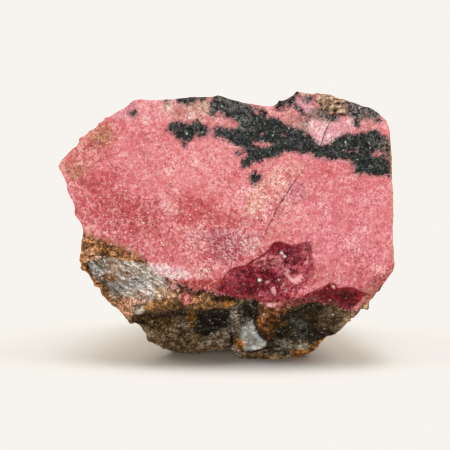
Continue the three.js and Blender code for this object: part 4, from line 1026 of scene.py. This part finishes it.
def stone_material(painted_glints):
    n = Nodes("rhodonite")
    coordinates = n.tree.nodes.new("ShaderNodeTexCoord").outputs["Object"]
    p = n.vector("SCALE", coordinates, scale=1000.0)               # millimetres
    jitter = n.tree.nodes.new("ShaderNodeTexNoise")
    n.put(jitter.inputs["Vector"], p)
    jitter.inputs["Scale"].default_value = 1.6
    jitter.inputs["Detail"].default_value = 2.0
    bent = n.vector("ADD", p, n.vector("SCALE", n.vector("SUBTRACT", jitter.outputs["Color"], (0.5, 0.5, 0.5)), scale=0.8))
    a = {name: n.attribute(name) for name in ("crust", "vein", "dust", "berry", "sugar", "ember", "glass", "fibre", "crack", "open",
                                              "cut", "mark", "rim", "ash", "stand")}
    face, rind = n.attribute("face", "Vector"), n.attribute("rind", "Vector")

    # the grain: three sizes of crystal, each with its own random numbers, and noise between them
    large, middle, small = n.voronoi(bent, 1.5), n.voronoi(bent, 0.80), n.voronoi(bent, 0.40)
    lr, lg, lb = n.split(large.outputs["Color"])
    mr, mg, mb = n.split(middle.outputs["Color"])
    sr, sg, sb = n.split(small.outputs["Color"])
    fine = n.noise(p, 0.30, 2.0, 0.65)
    cloud = n.noise(p, 1.7, 4.0, 0.68, 2.2)
    wide = n.noise(p, 6.5, 3.0, 0.55, 3.1)
    other = n.noise(p, 1.2, 3.0, 0.65, 9.4)

    def centred(*terms):
        """Sum of (number, middle, weight)."""
        return n.add(*[n.times(n.math("SUBTRACT", x, mid), weight) for x, mid, weight in terms])

    def strand(size, shift, keep, thin=0.93):
        """Short thin squiggles."""
        line = n.span(n.math("ABSOLUTE", n.math("SUBTRACT", n.noise(bent, size, 1.0, 0.5, shift), 0.5)), 0.0, 1 - thin, 1.0, 0.0)
        return n.times(line, n.span(n.noise(p, size * 1.4, 1.0, 0.5, shift + 1.7), keep, keep + 0.10))

    # pink: darker grains are redder, lighter ones paler
    patch = n.noise(p, 3.6, 4.0, 0.62, 5.5)
    grain = centred((sr, 0.5, 3.6), (mr, 0.5, 2.1), (fine, 0.5, 9.0))
    grain = n.times(grain, n.add(0.56, n.times(n.span(patch, 0.40, 0.60), 0.88), n.times(a["berry"], 0.6), n.times(a["sugar"], 0.55), n.times(a["ember"], 0.35)))
    # crumbs: light in the middle of each large grain, dark at its edge; they give the crust's bump and its painted
    # shade between crumbs
    crumb = n.math("SUBTRACT", 0.50, large.outputs["Distance"])
    grain = n.add(grain, centred((cloud, 0.5, 6.5), (lr, 0.5, 0.9), (wide, 0.5, 3.4), (patch, 0.5, 5.5)), n.times(centred((cloud, 0.5, 6.0), (patch, 0.5, 5.0)), n.times(a["ember"], 0.8)))
    grain = n.add(grain, n.times(centred((mr, 0.5, 2.6), (mb, 0.5, 1.4), (lr, 0.5, 1.8), (sb, 0.5, 1.4)), a["berry"]))
    grain = n.math("MINIMUM", grain, n.span(a["berry"], 0.2, 0.8, 6.0, 3.1))
    warmth = centred((mg, 0.5, 1.2), (other, 0.5, 5.6))
    pink = n.vector("MAXIMUM", n.vector("SUBTRACT", n.vector("MULTIPLY", face, FACE_GAIN), (0.014, 0.016, 0.015)), (0.004, 0.003, 0.003))
    pink = n.raised(pink, n.times(grain, n.add(0.105, n.times(a["berry"], 0.19))), n.add(n.times(grain, n.add(0.30, n.times(a["berry"], 0.16))), n.times(warmth, 0.07)),
                    n.add(n.times(grain, n.add(0.28, n.times(a["berry"], 0.17))), n.times(warmth, -0.10)))
    pale = n.times(strand(0.85, 4.4, 0.47), n.add(0.42, n.times(a["sugar"], 0.40)), clamp=True)
    pink = n.mix(n.times(pale, n.span(a["berry"], 0.2, 0.8, 1.0, 0.50)), pink, n.mix(n.span(a["berry"], 0.2, 0.8), linear(254, 212, 208), linear(206, 118, 134)))
    deep = n.times(strand(0.80, 14.4, 0.50), n.add(0.30, n.times(a["ember"], 0.50)), clamp=True)
    pink = n.mix(deep, pink, linear(150, 62, 66))
    # painted glints: scattered grains painted near white as if catching the light, more where the grain is sugary
    painted_glint = n.times(n.math("GREATER_THAN", sg, n.span(a["sugar"], 0.0, 1.0, 0.985, 0.92, "LINEAR")), n.span(fine, 0.42, 0.60))
    pink = n.mix(n.times(painted_glint, n.span(a["berry"], 0.2, 0.8, 0.80, 0.55)), pink, n.mix(n.span(a["berry"], 0.2, 0.8), linear(255, 228, 222), linear(224, 160, 172)))
    pit = n.times(n.math("GREATER_THAN", sb, n.span(a["ember"], 0.0, 1.0, 0.978, 0.90, "LINEAR")), n.span(other, 0.42, 0.6))
    pink = n.mix(n.times(pit, 0.72), pink, linear(122, 40, 46))
    # painted shade: the pink darkens to deep red where the surface sinks below its surroundings, more in the hollows
    pink = n.mix(n.times(n.span(a["stand"], -0.4, -1.6), n.add(0.12, n.times(a["berry"], 0.4))), pink, linear(110, 34, 44))

    # crust: coarse contrast, with painted shade in its hollows and between its crumbs and painted highlight on what
    # stands out
    grit_and_painted_shade = centred((sr, 0.5, 3.2), (mr, 0.5, 2.8), (fine, 0.5, 10.0), (n.noise(p, 1.5, 5.0, 0.75, 21.0), 0.5, 5.0), (a["stand"], 0.0, 0.50))
    big = n.voronoi(bent, 2.7)
    lumps_and_painted_shade = n.add(n.times(crumb, 4.6), n.times(n.math("SUBTRACT", 0.50, middle.outputs["Distance"]), 3.2), n.times(n.math("SUBTRACT", 0.52, big.outputs["Distance"]), 3.2))
    grit_and_painted_shade = n.add(n.times(grit_and_painted_shade, 0.98), n.times(lumps_and_painted_shade, n.span(a["fibre"], 0.0, 1.0, 1.0, 0.25, "LINEAR")))
    along, across = n.vector("DOT_PRODUCT", bent, (0.24, 0.0, -0.15)), n.vector("DOT_PRODUCT", bent, (0.70, 0.0, 1.25))
    threads = n.tree.nodes.new("ShaderNodeCombineXYZ")
    n.put(threads.inputs[0], along)
    n.put(threads.inputs[1], across)
    n.put(threads.inputs[2], n.vector("DOT_PRODUCT", p, (0.0, 0.7, 0.0)))
    fibres = n.noise(threads.outputs[0], 1.0, 3.0, 0.65)
    grit_and_painted_shade = n.add(n.times(grit_and_painted_shade, n.span(a["fibre"], 0.0, 1.0, 1.0, 0.55, "LINEAR")), n.times(n.times(n.math("SUBTRACT", fibres, 0.5), a["fibre"]), 12.0))
    grit_and_painted_shade = n.math("MINIMUM", n.times(grit_and_painted_shade, n.span(a["glass"], 0.0, 1.0, 0.62, 0.24, "LINEAR")), 1.35)
    tint = centred((other, 0.5, 2.4), (mg, 0.5, 0.5))
    crust = n.vector("MAXIMUM", n.vector("SUBTRACT", n.vector("MULTIPLY", rind, RIND_GAIN), (0.012, 0.013, 0.013)), (0.006, 0.005, 0.003))
    tint = n.times(tint, n.span(a["fibre"], 0.0, 1.0, 1.0, 0.35, "LINEAR"))
    crust = n.raised(crust, n.add(n.times(grit_and_painted_shade, 0.88), n.times(tint, 0.14)), grit_and_painted_shade, n.add(n.times(grit_and_painted_shade, 1.20), n.times(tint, -0.20)))
    crust = n.mix(n.times(strand(1.3, 24.4, 0.46, 0.955), n.span(a["glass"], 0.2, 0.8, 0.75, 0.1)), crust, linear(30, 22, 14))
    crust = n.mix(n.times(strand(1.0, 34.4, 0.52, 0.95), n.span(a["glass"], 0.2, 0.8, 0.45, 0.1)), crust, n.vector("SCALE", n.vector("ADD", crust, (0.16, 0.13, 0.10)), scale=1.25))
    flash = n.math("GREATER_THAN", n.add(sg, n.times(n.math("SUBTRACT", cloud, 0.5), 0.35)), n.span(a["fibre"], 0.0, 1.0, 0.955, 0.90, "LINEAR"))
    crust = n.mix(n.times(n.times(flash, n.span(a["glass"], 0.2, 0.8, 0.62, 0.15)), n.span(fine, 0.38, 0.6)), crust, n.mix(a["fibre"], linear(206, 192, 172), linear(222, 220, 218)))
    dirt = n.math("LESS_THAN", n.add(sb, n.times(n.math("SUBTRACT", cloud, 0.5), 0.3)), 0.10)
    crust = n.mix(n.times(dirt, n.span(a["glass"], 0.2, 0.8, 0.6, 0.1)), crust, linear(40, 28, 16))

    # crust meets pink along a grainy line
    edge = n.add(a["crust"], centred((cloud, 0.5, 2.2), (mr, 0.5, 0.7), (sr, 0.5, 0.6), (fine, 0.5, 0.8)))
    is_crust = n.span(edge, 0.22, -0.22)
    rusty = n.times(n.span(a["crust"], 1.6, 0.0), n.span(n.add(mg, n.times(cloud, 0.8)), 0.75, 1.15))
    pink = n.mix(n.times(rusty, n.span(a["sugar"], 0.2, 0.9, 0.5, 0.08)), pink, linear(150, 88, 66))
    body = n.mix(is_crust, pink, crust)

    # black veins: grains turn black one by one near the edge
    soft_edge = centred((mb, 0.5, 0.55), (sb, 0.5, 0.7), (cloud, 0.5, 2.4), (fine, 0.5, 1.8), (other, 0.5, 1.4))
    is_vein = n.span(n.add(a["vein"], soft_edge, -0.10), 0.34, -0.30)
    loose = n.add(n.times(mg, 0.42), n.times(sg, 0.40), n.times(n.math("SUBTRACT", fine, 0.5), 0.9), n.times(n.math("SUBTRACT", cloud, 0.5), 0.9))
    thin = n.span(loose, n.span(a["dust"], 0.0, 1.0, 0.96, 0.30, "LINEAR"), n.span(a["dust"], 0.0, 1.0, 1.00, 0.36, "LINEAR"), kind="LINEAR")
    is_vein = n.math("MAXIMUM", is_vein, n.times(thin, n.times(n.span(a["dust"], 0.03, 0.12), 0.82)))
    is_vein = n.times(is_vein, n.span(a["crust"], -0.6, 0.4))
    halo = n.times(n.span(n.add(a["vein"], n.times(soft_edge, 0.4)), 1.4, -0.1), 0.66)
    body = n.mix(n.times(halo, n.span(a["crust"], -0.4, 0.4)), body, linear(136, 102, 102))
    soot = n.vector("SCALE", (0.0132, 0.0158, 0.0152), scale=n.math("POWER", 2.0, n.times(centred((sr, 0.5, 2.9), (mr, 0.5, 2.8), (fine, 0.5, 10.5), (cloud, 0.5, 8.0)), 0.95)))
    soot = n.mix(n.times(n.math("GREATER_THAN", n.add(sg, n.times(n.math("SUBTRACT", other, 0.5), 0.3)), 0.92), 0.6), soot, linear(100, 102, 98))
    soot = n.mix(n.times(n.math("GREATER_THAN", lb, 0.93), n.times(n.span(fine, 0.42, 0.56), 0.35)), soot, linear(118, 100, 96))
    soot = n.mix(n.times(n.math("GREATER_THAN", sb, 0.988), 0.75), soot, linear(166, 168, 162))
    ashen = n.times(n.span(n.add(n.times(sr, 0.5), n.times(mg, 0.5), fine), 0.95, 1.15), a["ash"])
    soot = n.mix(n.times(ashen, 0.85), soot, n.mix(n.span(other, 0.45, 0.55), linear(148, 149, 146), linear(166, 150, 140)))
    body = n.mix(is_vein, body, soot)

    # pale veins and the dark red rim of the hollow
    torn = centred((mb, 0.5, 0.25), (sr, 0.5, 0.25), (fine, 0.5, 0.9), (other, 0.5, 0.6))
    mark = n.raised(linear(255, 190, 190), n.times(grain, 0.03), n.times(grain, 0.08), n.times(grain, 0.07))
    body = n.mix(n.times(n.span(n.add(a["mark"], n.times(torn, 1.7)), 0.12, -0.12), 0.95), body, mark)
    rim = n.span(n.math("ABSOLUTE", n.add(a["rim"], n.times(torn, 0.8))), 0.16, 0.40, 1.0, 0.0)
    body = n.mix(n.times(rim, n.span(n.add(mg, cloud), 0.75, 1.05, 0.5, 0.95)), body, linear(138, 26, 34))

    # the crack, and the painted glints: single crystals painted bright as if catching the light
    open_now = n.times(a["open"], 0.20)
    line = n.span(n.math("ABSOLUTE", n.add(a["crack"], n.times(n.math("SUBTRACT", fine, 0.5), 0.3))), n.times(open_now, 0.35), open_now, 1.0, 0.0)
    line = n.times(n.times(line, n.span(a["open"], 0.02, 0.3)), n.span(n.noise(p, 1.6, 1.0, 0.5, 31.0), 0.30, 0.42))
    body = n.mix(n.times(line, 0.85), body, linear(70, 44, 44))
    for place, radius, colour in painted_glints:
        away = n.vector("LENGTH", n.vector("SUBTRACT", bent, place))
        body = n.mix(n.span(n.add(away, n.times(n.math("SUBTRACT", sr, 0.5), 0.22)), radius, radius * 0.75), body, linear(*colour))
    n.put(n.shader.inputs["Base Color"], body)

    # roughness: some grains catch the light
    rough = n.span(mg, 0.0, 1.0, 0.64, 0.42, "LINEAR")
    rough = n.math("SUBTRACT", rough, n.times(n.math("GREATER_THAN", sb, 0.86), 0.16))
    rough = n.add(rough, n.times(is_crust, n.span(a["glass"], 0.2, 0.8, 0.14, -0.22)), n.times(a["berry"], -0.08))
    n.put(n.shader.inputs["Roughness"], rough)
    n.shader.inputs["Specular IOR Level"].default_value = 0.15

    # bump: each crystal has its own tilt
    def tilts(cell, gain):
        away = n.vector("SUBTRACT", bent, cell.outputs["Position"])
        tilt = n.vector("SUBTRACT", cell.outputs["Color"], (0.5, 0.5, 0.5))
        return n.times(n.vector("DOT_PRODUCT", away, tilt), gain)

    height = n.add(tilts(middle, 0.50), tilts(small, 0.50), tilts(large, 0.22), n.times(fine, 0.12), n.times(cloud, 0.25))
    height = n.times(height, n.add(1.0, n.times(a["berry"], 0.7), n.times(is_crust, 0.5), n.times(n.times(is_crust, a["glass"]), -0.9)))
    height = n.add(height, n.times(n.times(is_crust, grit_and_painted_shade), 0.09), n.times(n.times(is_crust, lumps_and_painted_shade), 0.06), n.times(line, -0.22))
    bump = n.tree.nodes.new("ShaderNodeBump")
    bump.inputs["Strength"].default_value = 1.0
    bump.inputs["Distance"].default_value = 0.001
    n.put(bump.inputs["Height"], height)
    n.put(n.shader.inputs["Normal"], bump.outputs[0])
    return n.material


surface.data.materials.append(stone_material(painted_glint_places(surface.data)))


# ---- floor, light and camera --------------------------------------------------------------------
def stage_floor():
    n = Nodes("floor")
    n.shader.inputs["Base Color"].default_value = (0.800, 0.800, 0.785, 1)
    n.shader.inputs["Roughness"].default_value = 0.9
    n.shader.inputs["Specular IOR Level"].default_value = 0.0
    mesh = bpy.data.meshes.new("floor")
    mesh.from_pydata([(-9, -9, 0), (9, -9, 0), (9, 9, 0), (-9, 9, 0)], [], [(0, 1, 2, 3)])
    floor = bpy.data.objects.new("floor", mesh)
    bpy.context.scene.collection.objects.link(floor)
    floor.data.materials.append(n.material)


def studio():
    """A pale room, bright low down all round, with broad lights on both sides, overhead, behind and low in front."""
    world = bpy.data.worlds.new("studio")
    bpy.context.scene.world = world
    world.use_nodes = True
    tree = world.node_tree
    split = tree.nodes.new("ShaderNodeSeparateXYZ")
    tree.links.new(tree.nodes.new("ShaderNodeTexCoord").outputs["Generated"], split.inputs[0])
    ramp = tree.nodes.new("ShaderNodeValToRGB")
    stops = [(0.0, (1.14, 1.07, 1.02)), (0.15, (1.14, 1.07, 1.02)), (0.30, (0.15, 0.13, 0.11)), (1.0, (0.15, 0.13, 0.11))]
    while len(ramp.color_ramp.elements) < len(stops):
        ramp.color_ramp.elements.new(1.0)
    for element, (place, colour) in zip(ramp.color_ramp.elements, stops):
        element.position, element.color = place, colour + (1,)
    tree.links.new(split.outputs[2], ramp.inputs[0])
    tree.links.new(ramp.outputs[0], tree.nodes["Background"].inputs["Color"])
    for name, around, above, angle, energy, colour in (
            ("front", -4, 2.5, 5, 1.06, (0.95, 1.00, 1.07)), ("right", 90, 50, 32, 1.48, (1.10, 1.00, 0.88)), ("left", -90, 50, 32, 1.28, (1.11, 1.00, 0.87)),
            ("overhead", 40, 87, 30, 1.35, (0.90, 1.00, 1.06)), ("behind", 180, 50, 30, 0.56, (1.22, 1.00, 0.80))):
        around, above = math.radians(around), math.radians(above)
        toward = Vector((math.sin(around) * math.cos(above), -math.cos(around) * math.cos(above), math.sin(above)))
        data = bpy.data.lights.new(name, "SUN")
        data.energy, data.angle, data.color = energy, math.radians(angle), colour
        made = bpy.data.objects.new(name, data)
        made.rotation_mode = "QUATERNION"
        made.rotation_quaternion = (-toward).to_track_quat("-Z", "Y")
        bpy.context.scene.collection.objects.link(made)


def pale_highlights():
    """The floor and the room come out an even off-white: straight up to a shoulder in each channel, then level."""
    view = bpy.context.scene.view_settings
    view.view_transform = "Standard"
    view.use_curve_mapping = True
    curves = view.curve_mapping
    curves.extend = "HORIZONTAL"
    for curve, stops in zip(curves.curves, (((0.80, 0.80), (0.88, 0.865), (0.95, 0.905), (1.0, 0.930)), ((0.78, 0.78), (0.86, 0.840), (0.93, 0.880), (1.0, 0.905)),
                                            ((0.74, 0.74), (0.82, 0.800), (0.90, 0.840), (1.0, 0.863)))):
        curve.points[1].location = stops[-1]
        for place in stops[:-1]:
            curve.points.new(*place)
        for point in curve.points:
            point.handle_type = "VECTOR"
    curves.update()


def photograph_camera():
    data = bpy.data.cameras.new("camera")
    data.sensor_width, data.lens = 36.0, FOCAL * 36.0 / 450
    data.clip_start, data.clip_end = 0.01, 30
    camera = bpy.data.objects.new("camera", data)
    camera.location = Vector(STATION / 1000)
    camera.rotation_mode = "QUATERNION"
    camera.rotation_quaternion = Vector(AHEAD).to_track_quat("-Z", "Y")
    bpy.context.scene.collection.objects.link(camera)
    bpy.context.scene.camera = camera


stage_floor()
studio()
photograph_camera()
pale_highlights()
